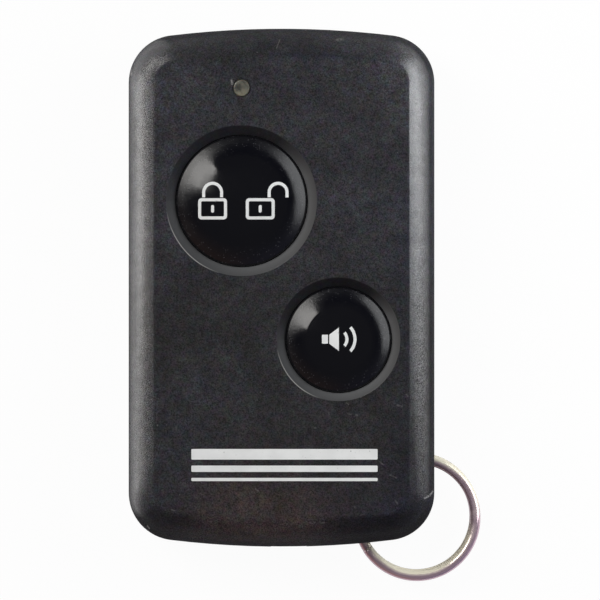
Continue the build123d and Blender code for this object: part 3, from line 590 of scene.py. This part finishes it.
def case_marks(tree, case, tone):
    """The tone with scratches, nicks, scuffs and pits, and where the scratches and pits are."""
    scratches = largest(
        tree,
        fine_scratches(tree, case.point, turn=0.5, length_mm=2.4, width_mm=0.05, share=0.30),
        fine_scratches(tree, case.point, turn=-0.9, length_mm=1.8, width_mm=0.05, share=0.29),
    )
    nicks = product(tree, strokes(tree, case.point, bright_marks), spread(tree, case.grain, 0.35, 0.55))
    scuffs = product(tree, strokes(tree, case.point, faint_marks), spread(tree, case.grain, 0.30, 0.60))
    nicks = product(tree, largest(tree, nicks, product(tree, scuffs, 0.22)), case.on_top)
    pits = product(tree, strokes(tree, case.point, dark_marks), case.on_top)
    tone = tint(tree, product(tree, scratches, 0.35), tone, (0.10, 0.10, 0.105))
    tone = tint(tree, product(tree, nicks, 0.8), tone, (0.42, 0.41, 0.41))
    return tint(tree, pits, tone, (0.004, 0.004, 0.004)), scratches, pits


def case_rubbing(tree, case):
    """Where the bevelled edges are rubbed smooth, and where the sides below them are left dull."""
    foot_start = between(tree, case.leftward, 0.46, 0.20)
    foot_end = between(tree, case.leftward, 0.68, 0.50)
    edge_foot = spread(tree, case.up, foot_start, foot_end)
    tilted = maths(tree, "ADD", case.up, product(tree, case.mid_height, 0.012))
    inner_right = spread(tree, tilted, 0.97, 0.90)
    inner_left = spread(tree, case.up, 0.93, 0.79)
    sideways = spread(tree, maths(tree, "ABSOLUTE", case.facing_right), 0.03, 0.22)
    seam_start, seam_end = (face_z - depth_mm * MM for depth_mm in rubbed_depth_mm)
    rubbed = product(
        tree,
        between(tree, case.leftward, inner_right, inner_left),
        edge_foot,
        product(tree, sideways, case.outside),
        spread(tree, case.z, seam_start, seam_end),
    )
    low_level = maths(tree, "SUBTRACT", case.y, product(tree, case.up, left_end_slope_mm * MM))
    left_end = product(
        tree,
        spread_mm(tree, low_level, left_end_y_mm),
        spread(tree, case.facing_lamp_end, -0.52, -0.32),
    )
    right_end = spread_mm(tree, case.y, right_end_y_mm)
    rubbed = product(tree, rubbed, between(tree, case.leftward, right_end, left_end))
    left_sheen = product(tree, case.leftward, left_end)
    dull = maths(tree, "SUBTRACT", spread(tree, case.up, 0.62, 0.35), left_sheen, clamp=True)
    return rubbed, dull


def case_sheen(tree, case, rubbed):
    """How strong the rubbed edges shine: it thins out in places and sparkles on the right."""
    level = maths(tree, "ADD", case.y, product(tree, case.facing_right, right_thinning_slope_mm * MM))
    right_thinning = product(
        tree, spread_mm(tree, level, right_thinning_y_mm), spread(tree, case.facing_right, 0.0, 0.2)
    )
    left_thinning = product(
        tree,
        spread_mm(tree, case.y, left_thinning_y_mm, 0.0, 0.50),
        case.leftward,
        spread(tree, case.up, 0.52, 0.70),
    )
    sheen = product(
        tree,
        rubbed,
        spread(tree, case.mottle, 0.25, 0.60, 0.65, 1.0),
        left_over(tree, right_thinning),
        left_over(tree, left_thinning),
        spread_mm(tree, case.y, top_thinning_y_mm, 0.55, 1.0),
    )
    rightward = spread(tree, case.facing_right, 0.15, 0.40)
    coarse = product(tree, rightward, spread_mm(tree, case.y, sparkle_y_mm, 0.1, 0.9))
    coarse_grain = cloud(tree, case.point, 0.15, detail=2.0, roughness=0.6)
    sparkle = spread(tree, coarse_grain, 0.40, 0.60, 0.30, 1.75)
    return product(tree, sheen, between(tree, coarse, 1.0, sparkle))


def case_plastic():
    """Black moulded plastic: dull and grainy on the flats, rubbed to a shine along its bevels, with
    painted light, shade and reflections in its colour.
    """
    shine = {"Specular_IOR_Level": 0.12, "Coat_Roughness": 0.22, "Coat_IOR": 2.2}
    material, tree, shader = finish("case_plastic_worn_painted_light", plain_black, 0.5, **shine)
    case = case_surface(tree)
    tone = case_shading(tree, case, case_tone(tree, case))
    tone = case_wells(tree, case, case_grain(tree, case, tone))
    tone, scratches, pits = case_marks(tree, case, tone)
    put(shader.inputs["Base Color"], tone)

    rubbed, dull = case_rubbing(tree, case)
    rough = spread(tree, case.film, 0.3, 0.7, 0.46, 0.54)
    rough = maths(tree, "ADD", rough, spread(tree, case.mottle, 0.4, 0.7, -0.03, 0.05))
    rough = maths(tree, "SUBTRACT", rough, product(tree, rubbed, 0.22))
    rough = maths(tree, "ADD", rough, product(tree, dull, 0.30))
    put(shader.inputs["Roughness"], rough)
    put(shader.inputs["Coat Weight"], case_sheen(tree, case, rubbed))

    grain_strength = product(tree, between(tree, rubbed, 1.0, 0.38), case.grain_depth)
    normal = relief(tree, case.grain, 0.090, grain_strength)
    normal = relief(tree, cloud(tree, case.point, 3.5, detail=2.0), 0.05, 0.25, normal)
    normal = relief(tree, scratches, 0.01, 0.35, normal)
    normal = relief(tree, pits, -0.05, 0.6, normal)
    put(shader.inputs["Normal"], normal)
    put(shader.inputs["Coat Normal"], normal)
    return material


def button_plastic():
    """Polished black plastic, rubbed dull and dusty towards its rim."""
    black = (0.0031, 0.0031, 0.0046)
    material, tree, shader = finish("button_plastic_gloss", black, 0.10)
    point = surface_point(tree)
    rim = spread(tree, surface_normal(tree)[2], 0.985, 0.90)
    scratches = fine_scratches(tree, point, turn=0.3, length_mm=1.6, width_mm=0.03, share=0.30)

    dust = product(tree, specks(tree, point, spacing_mm=1.3, radius_mm=0.06, share=0.20), 0.5)
    rim_dust = product(tree, specks(tree, point, spacing_mm=0.22, radius_mm=0.07, share=0.34), rim)
    dust = largest(tree, dust, product(tree, rim_dust, 0.6))
    base = tint(tree, product(tree, scratches, 0.25), black, (0.05, 0.05, 0.055))
    put(shader.inputs["Base Color"], tint(tree, dust, base, (0.12, 0.12, 0.13)))

    haze = spread(tree, cloud(tree, point, 2.5, detail=4.0, roughness=0.6), 0.35, 0.75, 0.05, 0.15)
    put(shader.inputs["Roughness"], maths(tree, "ADD", haze, product(tree, rim, 0.20)))

    orange_peel = cloud(tree, point, 0.9, detail=2.0)
    pitted = product(tree, cloud(tree, point, 0.22, detail=3.0, roughness=0.7), rim)
    normal = relief(tree, orange_peel, 0.006, 0.35)
    normal = relief(tree, scratches, 0.004, 0.30, normal)
    normal = relief(tree, pitted, 0.02, 0.8, normal)
    put(shader.inputs["Normal"], normal)
    return material


def lens_plastic():
    """A milky lens, olive grey, with the dark lamp showing through one side of it."""
    olive = (0.10, 0.095, 0.075)
    material, tree, shader = finish(
        "lens_plastic_milky", olive, 0.30, Subsurface_Weight=0.15, Subsurface_Scale=0.4 * MM
    )
    point = surface_point(tree)
    clouded = cloud(tree, point, 0.5, detail=3.0)
    base = tint(tree, spread(tree, clouded, 0.35, 0.65), (0.076, 0.076, 0.063), (0.140, 0.135, 0.106))
    height = add_node(tree, "ShaderNodeSeparateXYZ", Vector=point).outputs[1]
    tan_share = spread(tree, height, lens_middle.y, lens_low.y, 0.0, 0.7)
    base = tint(tree, tan_share, base, (0.330, 0.315, 0.215))
    spot_x, spot_y = lens_spot_shift_mm
    spot = (lens_middle.x + spot_x * MM, lens_middle.y + spot_y * MM)
    spot_share = spread_mm(tree, distance_to(tree, point, spot), lens_spot_mm, 0.85, 0.0)
    base = tint(tree, spot_share, base, (0.020, 0.018, 0.018))
    rim_share = spread_mm(tree, distance_to(tree, point, lens_middle), lens_rim_mm, 0.0, 0.5)
    base = tint(tree, rim_share, base, (0.190, 0.180, 0.160))
    put(shader.inputs["Base Color"], base)
    put(shader.inputs["Roughness"], spread(tree, clouded, 0.3, 0.7, 0.22, 0.40))
    put(shader.inputs["Normal"], relief(tree, cloud(tree, point, 0.35, detail=2.0), 0.02, 0.5))
    return material


def plated_metal(name, colour, roughness, brush_mm):
    """Plated or bare metal, brushed one way and faintly stained."""
    stain, stain_share = (0.30, 0.24, 0.20), 0.25
    material, tree, shader = finish(name, colour, roughness, Metallic=1.0)
    point = surface_point(tree)
    film = cloud(tree, point, 3.0, detail=3.0, roughness=0.6)
    stained = tint(tree, spread(tree, film, 0.5, 0.8, 0.0, stain_share), colour, stain)
    put(shader.inputs["Base Color"], stained)
    put(shader.inputs["Roughness"], spread(tree, film, 0.3, 0.7, roughness * 0.8, roughness * 1.4))
    lines = cloud(tree, stretched(tree, point, 0.4, (1.0, 0.06, 1.0)), brush_mm, detail=2.0)
    put(shader.inputs["Normal"], relief(tree, lines, 0.006, 0.5))
    return material


def ring_plate():
    """Nickel plate, worn with fine scratches, with a painted reflection in its colour: cream and less
    metallic where it faces the lamp's end, purplish elsewhere.
    """
    reflected_cream, reflected_purple = (1.00, 0.94, 0.75), (0.76, 0.56, 0.64)
    material, tree, shader = finish("ring_nickel_worn_painted_reflection", reflected_cream, 0.20)
    point = surface_point(tree)
    film = cloud(tree, point, 3.0, detail=3.0, roughness=0.6)
    # Painted reflection: cream where the wire faces the lamp's end, purplish where it faces away
    facing = maths(tree, "ADD", surface_normal(tree)[1], spread(tree, film, 0.3, 0.7, -0.1, 0.1))
    painted_reflection_share = spread(tree, facing, -0.05, 0.35)
    scratches = fine_scratches(tree, point, turn=0.7, length_mm=1.2, width_mm=0.04, share=0.34)
    put(shader.inputs["Base Color"], tint(tree, painted_reflection_share, reflected_purple, reflected_cream))
    put(shader.inputs["Metallic"], between(tree, painted_reflection_share, 0.68, 0.12))
    put(shader.inputs["Roughness"], spread(tree, film, 0.3, 0.7, 0.10, 0.18))
    put(shader.inputs["Normal"], relief(tree, scratches, 0.006, 0.5))
    return material


def moulded(name, colour, roughness, grain_mm=0.3, grain_depth_mm=0.01, shade=0.6, **shader_values):
    """Moulded plastic, resin, foam or ceramic: one colour that drifts a little, and a fine grain."""
    material, tree, shader = finish(name, colour, roughness, **shader_values)
    point = surface_point(tree)
    film = cloud(tree, point, 2.2, detail=4.0, roughness=0.6)
    darker = tuple(value * shade for value in colour)
    put(shader.inputs["Base Color"], tint(tree, spread(tree, film, 0.3, 0.7), darker, colour))
    put(shader.inputs["Roughness"], spread(tree, film, 0.3, 0.7, roughness * 1.15, roughness * 0.85))
    grain = cloud(tree, point, grain_mm, detail=3.0, roughness=0.6)
    put(shader.inputs["Normal"], relief(tree, grain, grain_depth_mm, 0.7))
    return material


def board_laminate():
    """A green circuit board with copper tracks under its mask and bare laminate at its edges."""
    green = (0.012, 0.085, 0.035)
    track_green = (0.030, 0.150, 0.060)
    tracks_mm, weave_mm = 9.0, 0.25
    material, tree, shader = finish("board_laminate_green", green, 0.28)
    point = surface_point(tree)
    tracks = add_node(
        tree,
        "ShaderNodeTexBrick",
        {"offset": 0.37, "squash": 1.6, "squash_frequency": 3},
        Vector=point,
        Scale=1.0 / (tracks_mm * MM),
        Mortar_Size=0.022,
        Mortar_Smooth=0.2,
        Brick_Width=0.46,
        Row_Height=0.16,
    ).outputs["Fac"]
    weave = add_node(tree, "ShaderNodeTexChecker", Vector=point, Scale=1.0 / (weave_mm * MM)).outputs[1]
    base = tint(tree, tracks, green, track_green)
    base = tint(tree, product(tree, weave, 0.10), base, track_green)
    up = surface_normal(tree)[2]
    off_top = spread(tree, up, 0.5, 0.1)
    underside = spread(tree, up, -0.1, -0.5)
    edge = maths(tree, "SUBTRACT", off_top, underside, clamp=True)
    put(shader.inputs["Base Color"], tint(tree, edge, base, (0.20, 0.19, 0.09)))
    put(shader.inputs["Normal"], relief(tree, tracks, 0.03, 0.5))
    return material


def wound_coating():
    """Lacquered wire on a small coil: fine turns that show through the coating."""
    coating_green = (0.030, 0.110, 0.035)
    bands_mm = 3.0
    material, tree, shader = finish("coil_coating_lacquer", coating_green, 0.22)
    wave = add_node(
        tree,
        "ShaderNodeTexWave",
        {"bands_direction": "X"},
        Vector=surface_point(tree),
        Scale=1.0 / (bands_mm * MM),
        Distortion=0.2,
    )
    turns = wave.outputs["Fac"]
    put(shader.inputs["Base Color"], tint(tree, turns, (0.015, 0.055, 0.018), coating_green))
    put(shader.inputs["Normal"], relief(tree, turns, 0.03, 0.6))
    return material


def printed_ink():
    """Pale ink, screen printed, rubbed thin in places."""
    material, tree, shader = finish("printed_ink_worn", (0.80, 0.82, 0.81), 0.42)
    point = surface_point(tree)
    wear = cloud(tree, point, 0.5, detail=5.0, roughness=0.7)
    patch = cloud(tree, point, 2.5, detail=2.0)
    base = tint(tree, spread(tree, patch, 0.35, 0.65), (0.84, 0.86, 0.85), (0.76, 0.78, 0.77))
    base = tint(tree, spread(tree, wear, 0.62, 0.74, 0.0, 0.75), base, (0.16, 0.16, 0.17))
    put(shader.inputs["Base Color"], base)
    put(shader.inputs["Roughness"], spread(tree, wear, 0.3, 0.7, 0.36, 0.52))
    put(shader.inputs["Normal"], relief(tree, wear, 0.01, 0.4))
    return material


finishes = {
    "case_plastic": case_plastic(),
    "button_plastic": button_plastic(),
    "lens_plastic": lens_plastic(),
    "ring_nickel": ring_plate(),
    "screw_steel": plated_metal("screw_steel_zinc", (0.50, 0.50, 0.51), 0.30, brush_mm=0.10),
    "board_laminate": board_laminate(),
    "switch_plastic": moulded("switch_plastic_black", (0.020, 0.020, 0.021), 0.45),
    "contact_metal": plated_metal("contact_metal_tinned", (0.64, 0.63, 0.60), 0.32, brush_mm=0.15),
    "lamp_resin": moulded("lamp_resin_red", (0.40, 0.025, 0.018), 0.12, Transmission_Weight=0.4),
    "battery_steel": plated_metal("battery_steel_nickel", (0.62, 0.62, 0.61), 0.26, brush_mm=0.20),
    "battery_sleeve": moulded("battery_sleeve_silver", (0.24, 0.26, 0.29), 0.30),
    "foam": moulded(
        "foam_black", (0.035, 0.035, 0.038), 0.90, grain_mm=0.35, grain_depth_mm=0.12, shade=0.4
    ),
    "chip_resin": moulded("chip_resin_black", (0.014, 0.014, 0.015), 0.50, grain_mm=0.12),
    "coil_coating": wound_coating(),
    "ceramic": moulded("ceramic_tan", (0.36, 0.25, 0.15), 0.40, grain_mm=0.2, shade=0.8),
    "copper": plated_metal("copper_enamelled", (0.72, 0.30, 0.15), 0.28, brush_mm=0.12),
}

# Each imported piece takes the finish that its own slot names
for node in nodes.values():
    slot = node.data.materials[0].name.split(".")[0]
    node.data.materials.clear()
    node.data.materials.append(finishes[slot])


def finish_piece(name, build, body, material):
    """Turns a bmesh into a piece that rides on a body."""
    bmesh.ops.recalc_face_normals(build, faces=build.faces)
    mesh = bpy.data.meshes.new(name)
    build.to_mesh(mesh)
    build.free()
    mesh.materials.append(material)
    piece = bpy.data.objects.new(name, mesh)
    bpy.context.scene.collection.objects.link(piece)
    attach(piece, body)
    return piece


def wire_section(share):
    """The wire's section, a rounded rectangle, as sideways and upward offsets."""
    half_width = wire_width_mm * MM / 2 * share
    half_height = wire_height_mm * MM / 2 * share
    points = []
    for step in range(wire_sides):
        angle = 2 * math.pi * step / wire_sides
        across = math.copysign(abs(math.cos(angle)) ** wire_roundness, math.cos(angle))
        upward = math.copysign(abs(math.sin(angle)) ** wire_roundness, math.sin(angle))
        points.append((across * half_width, upward * half_height))
    return points


def ring_place(angle):
    """The middle of the wire at an angle along the winding, and the way outward there."""
    radius = (ring_high.x - ring_low.x) / 2 - wire_width_mm * MM / 2
    drop = min(1.0, max(0.0, (angle - ring_step_start) / (ring_step_end - ring_step_start)))
    drop = drop * drop * (3 - 2 * drop)
    lift = (wire_height_mm + turn_gap_mm) * MM * (0.5 - drop)
    turned = math.radians(angle)
    outward = Vector((math.cos(turned), math.sin(turned), 0.0))
    shift = Vector((low_turn_shift_mm[0] * MM, low_turn_shift_mm[1] * MM, 0.0)) * drop
    return ring_middle + shift + Vector((0.0, 0.0, lift)) + outward * radius, outward


def ring_stations():
    """Angles along the winding, each with the size of the wire there: its two ends are bevelled."""
    first = ring_top_end + ring_end_bevel
    span = ring_low_end - ring_top_end - 2 * ring_end_bevel
    count = int((ring_low_end - ring_top_end) / ring_station_step)
    stations = [(ring_top_end, ring_end_share)]
    stations += [(first + span * step / count, 1.0) for step in range(count + 1)]
    stations += [(ring_low_end, ring_end_share)]
    return stations


def make_ring():
    """The split ring, two turns of one wire with a step between them and flat cut ends."""
    build = bmesh.new()
    rows = []
    for angle, share in ring_stations():
        middle, outward = ring_place(angle)
        row = []
        for across, upward in wire_section(share):
            row.append(build.verts.new(middle + outward * across + Vector((0.0, 0.0, upward))))
        rows.append(row)
    for first, second in zip(rows, rows[1:]):
        for side in range(wire_sides):
            other = (side + 1) % wire_sides
            build.faces.new((first[side], first[other], second[other], second[side]))
    build.faces.new(rows[0])
    build.faces.new(rows[-1])
    for face in build.faces:
        face.smooth = len(face.verts) == 4
    piece = finish_piece("key_split_ring", build, "key_ring", finishes["ring_nickel"])
    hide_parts("split_ring")


def arc_points(middle, radius, start, end, steps):
    """Points along an arc, in degrees."""
    points = []
    for step in range(steps + 1):
        angle = math.radians(start + (end - start) * step / steps)
        points.append((middle[0] + radius * math.cos(angle), middle[1] + radius * math.sin(angle)))
    return points


def rounded_box(middle, width, height, radius):
    """The outline of a rectangle with rounded corners."""
    points = []
    corner_steps = 6
    for turn, (sign_x, sign_y) in enumerate(((1, 1), (-1, 1), (-1, -1), (1, -1))):
        corner = (middle[0] + sign_x * (width / 2 - radius), middle[1] + sign_y * (height / 2 - radius))
        points += arc_points(corner, radius, 90.0 * turn, 90.0 * turn + 90.0, corner_steps)
    return points


def arc_band(middle, radius, width, start, end):
    """The outline of a band along an arc."""
    steps = 16
    outer = arc_points(middle, radius + width / 2, start, end, steps)
    return outer + arc_points(middle, radius - width / 2, end, start, steps)


def shackle(middle_x, foot_y, radius, leg, width):
    """The outline of a padlock's bow, standing on foot_y."""
    bow = (middle_x, foot_y + leg)
    outside = radius + width / 2
    inside = radius - width / 2
    steps = 20
    outline = [(middle_x + outside, foot_y)]
    outline += arc_points(bow, outside, 0.0, 180.0, steps)
    outline += [(middle_x - outside, foot_y), (middle_x - inside, foot_y)]
    outline += arc_points(bow, inside, 180.0, 0.0, steps)
    outline += [(middle_x + inside, foot_y)]
    return outline


def padlock(middle_x, middle_y, open_bow):
    """The outlines of a padlock, in mm: a body with a keyhole, and its bow."""
    line = print_line_mm
    width, height = lock_body_mm
    outer_corner, inner_corner = lock_corners_mm
    whole = height + lock_gap_mm + lock_leg_mm + lock_bow_radius_mm + line / 2
    body = (middle_x, middle_y - whole / 2 + height / 2)
    frame_outer = rounded_box(body, width, height, outer_corner)
    frame_inner = rounded_box(body, width - 2 * line, height - 2 * line, inner_corner)
    keyhole = rounded_box(body, line, keyhole_height_mm, (line - keyhole_flat_mm) / 2)
    bow_x = middle_x + 2 * lock_bow_radius_mm if open_bow else middle_x
    bow_foot = body[1] + height / 2 + lock_gap_mm
    bow = shackle(bow_x, bow_foot, lock_bow_radius_mm, lock_leg_mm, line)
    return [[frame_outer, frame_inner], [keyhole], [bow]]


def horn(middle_x, middle_y):
    """The outlines of a small horn with two arcs of sound, in mm, from shares of its reach."""
    line = print_line_mm
    reach = horn_reach_mm
    mouth_x = middle_x - 0.12 * reach
    throat_x = middle_x - 0.66 * reach
    back = (throat_x - 0.24 * reach, middle_y)
    throat = rounded_box(back, 0.34 * reach, 0.50 * reach, horn_corner_mm)
    flare = [
        (throat_x, middle_y - 0.25 * reach),
        (mouth_x, middle_y - 0.66 * reach),
        (mouth_x, middle_y + 0.66 * reach),
        (throat_x, middle_y + 0.25 * reach),
    ]
    source = (mouth_x - 0.1 * reach, middle_y)
    near = arc_band(source, 0.55 * reach, line, -sound_half_angle, sound_half_angle)
    far = arc_band(source, reach, line, -sound_half_angle, sound_half_angle)
    return [[throat], [flare], [near], [far]]


def bars(middle_x, middle_y, width, heights, gap, corner):
    """The outlines of plain stripes, one under the other, in mm."""
    shapes = []
    top = middle_y + (sum(heights) + gap * (len(heights) - 1)) / 2
    for height in heights:
        shapes.append([rounded_box((middle_x, top - height / 2), width, height, corner)])
        top -= height + gap
    return shapes


def make_print(name, shapes, carrier, body, material):
    """Thin ink on a surface: flat outlines, cut along a grid, laid on the node that carries them."""
    carried_by = nodes[carrier].data
    surface = BVHTree.FromPolygons(
        [vertex.co for vertex in carried_by.vertices],
        [tuple(face.vertices) for face in carried_by.polygons],
    )
    build = bmesh.new()
    for outlines in shapes:
        loops = [[Vector((x * MM, y * MM, 0.0)) for x, y in outline] for outline in outlines]
        points = [build.verts.new(point) for loop in loops for point in loop]
        for corners in tessellate_polygon(loops):
            build.faces.new([points[index] for index in corners])
    bmesh.ops.recalc_face_normals(build, faces=build.faces)
    cut_along_grid(build)
    above = face_z + ray_start_mm * MM
    for vertex in build.verts:
        hit = surface.ray_cast(Vector((vertex.co.x, vertex.co.y, above)), Vector((0.0, 0.0, -1.0)))[0]
        vertex.co.z = hit.z - print_sink_mm * MM
    raised = bmesh.ops.extrude_face_region(build, geom=build.faces[:], use_keep_orig=True)["geom"]
    for item in raised:
        if isinstance(item, bmesh.types.BMVert):
            item.co.z += (print_rise_mm + print_sink_mm) * MM
    finish_piece(name, build, body, material)


def cut_along_grid(build):
    """Cuts flat faces along a square grid, so that they can follow a crowned surface."""
    nearest = 1e-7
    for axis in (0, 1):
        low = min(vertex.co[axis] for vertex in build.verts)
        high = max(vertex.co[axis] for vertex in build.verts)
        normal = Vector((1.0, 0.0, 0.0)) if axis == 0 else Vector((0.0, 1.0, 0.0))
        for step in range(1, int((high - low) / (print_grid_mm * MM)) + 1):
            place = normal * (low + step * print_grid_mm * MM)
            geometry = build.verts[:] + build.edges[:] + build.faces[:]
            bmesh.ops.bisect_plane(build, geom=geometry, plane_co=place, plane_no=normal, dist=nearest)


def make_prints():
    """The marks on the buttons and the plain stripes on the case."""
    ink = printed_ink()
    arm_x, arm_y = arm_middle.x / MM, arm_middle.y / MM
    panic_x, panic_y = panic_middle.x / MM, panic_middle.y / MM
    locks = padlock(arm_x + closed_lock_shift_mm, arm_y, False)
    locks += padlock(arm_x + open_lock_shift_mm, arm_y, True)
    make_print("arm_button_print", locks, "arm_button", "arm_button_body", ink)
    sound = horn(panic_x + horn_shift_mm, panic_y)
    make_print("panic_button_print", sound, "panic_button", "panic_button_body", ink)
    stripes = bars(
        *stripes_middle_mm, stripe_width_mm, stripe_heights_mm, stripe_gap_mm, stripe_corner_mm
    )
    make_print("case_stripes", stripes, "front_shell", "case", ink)


def make_camera():
    """A camera straight above, with +Y up in the picture."""
    data = bpy.data.cameras.new("camera")
    data.lens = camera_lens
    data.sensor_width = camera_sensor
    data.clip_end = camera_reach
    camera = bpy.data.objects.new("camera", data)
    camera.location = (*picture_middle, face_z + camera_height)
    bpy.context.scene.collection.objects.link(camera)
    bpy.context.scene.camera = camera


def make_lights():
    """Soft panels round the object. The camera doesn't see them, but glossy surfaces do."""
    for name, (bearing, slant, distance, lift, size, glow, colour) in lights.items():
        data = bpy.data.lights.new(name, "AREA")
        data.shape = "RECTANGLE"
        data.size, data.size_y = size
        data.energy = glow * math.pi * data.size * data.size_y
        data.color = colour
        light = bpy.data.objects.new(name, data)
        bpy.context.scene.collection.objects.link(light)
        turn, tilt = math.radians(bearing), math.radians(slant)
        across = math.sin(tilt)
        away = Vector((across * math.cos(turn), across * math.sin(turn), math.cos(tilt)))
        light.location = Vector((0.0, 0.0, face_z + lift)) + away * distance
        light.rotation_euler = away.to_track_quat("Z", "Y").to_euler()
        light.visible_camera = False


def make_world():
    """White to the camera. To the object it is dim overhead, pale beyond and brownish in front."""
    world = bpy.data.worlds.new("studio")
    world.use_nodes = True
    tree = world.node_tree
    direction = add_node(tree, "ShaderNodeTexCoord").outputs["Generated"]
    east, north, up = add_node(tree, "ShaderNodeSeparateXYZ", Vector=direction).outputs
    beyond = tint(tree, spread(tree, up, 0.20, 0.45), back_low_glow, back_glow)
    beyond = tint(tree, spread(tree, up, 0.88, 0.98), beyond, overhead_glow)
    in_front = tint(tree, spread(tree, east, -0.20, 0.20), near_left_glow, near_right_glow)
    in_front = tint(tree, spread(tree, up, 0.45, 0.95), in_front, overhead_glow)
    glow = tint(tree, spread(tree, north, -0.45, 0.05), in_front, beyond)
    seen = add_node(tree, "ShaderNodeLightPath").outputs["Is Camera Ray"]
    put(tree.nodes["Background"].inputs["Color"], tint(tree, seen, glow, (1.0, 1.0, 1.0)))
    bpy.context.scene.world = world


def floor_paper():
    """Pale paper that glows nearly as white as the background to the camera, less in reflections."""
    material = bpy.data.materials.new("floor_white")
    material.use_nodes = True
    tree = material.node_tree
    tree.nodes.clear()
    paper = add_node(tree, "ShaderNodeBsdfDiffuse", Color=(0.86, 0.86, 0.86)).outputs[0]
    glow = add_node(tree, "ShaderNodeEmission", Color=(1.0, 1.0, 1.0), Strength=1.0).outputs[0]
    path = add_node(tree, "ShaderNodeLightPath").outputs
    straight = product(tree, path["Is Camera Ray"], floor_glow)
    in_gloss = largest(tree, path["Is Glossy Ray"], path["Is Transmission Ray"])
    share = largest(tree, straight, product(tree, in_gloss, floor_glow_in_gloss))
    mixed = add_node(tree, "ShaderNodeMixShader", in0=share, in1=paper, in2=glow).outputs[0]
    add_node(tree, "ShaderNodeOutputMaterial", Surface=mixed)
    return material


def make_floor():
    """A pale floor that keeps the object's soft shadow."""
    mesh = bpy.data.meshes.new("floor")
    signs = ((-1, -1), (1, -1), (1, 1), (-1, 1))
    corners = [(floor_reach * x, floor_reach * y, 0.0) for x, y in signs]
    mesh.from_pydata(corners, [], [(0, 1, 2, 3)])
    mesh.materials.append(floor_paper())
    floor = bpy.data.objects.new("floor", mesh)
    floor.location.z = cad_box[0][2] - floor_drop_mm * MM
    bpy.context.scene.collection.objects.link(floor)


make_ring()
make_prints()
make_camera()
make_lights()
make_world()
make_floor()

view = bpy.context.scene.view_settings
view.view_transform = "Standard"
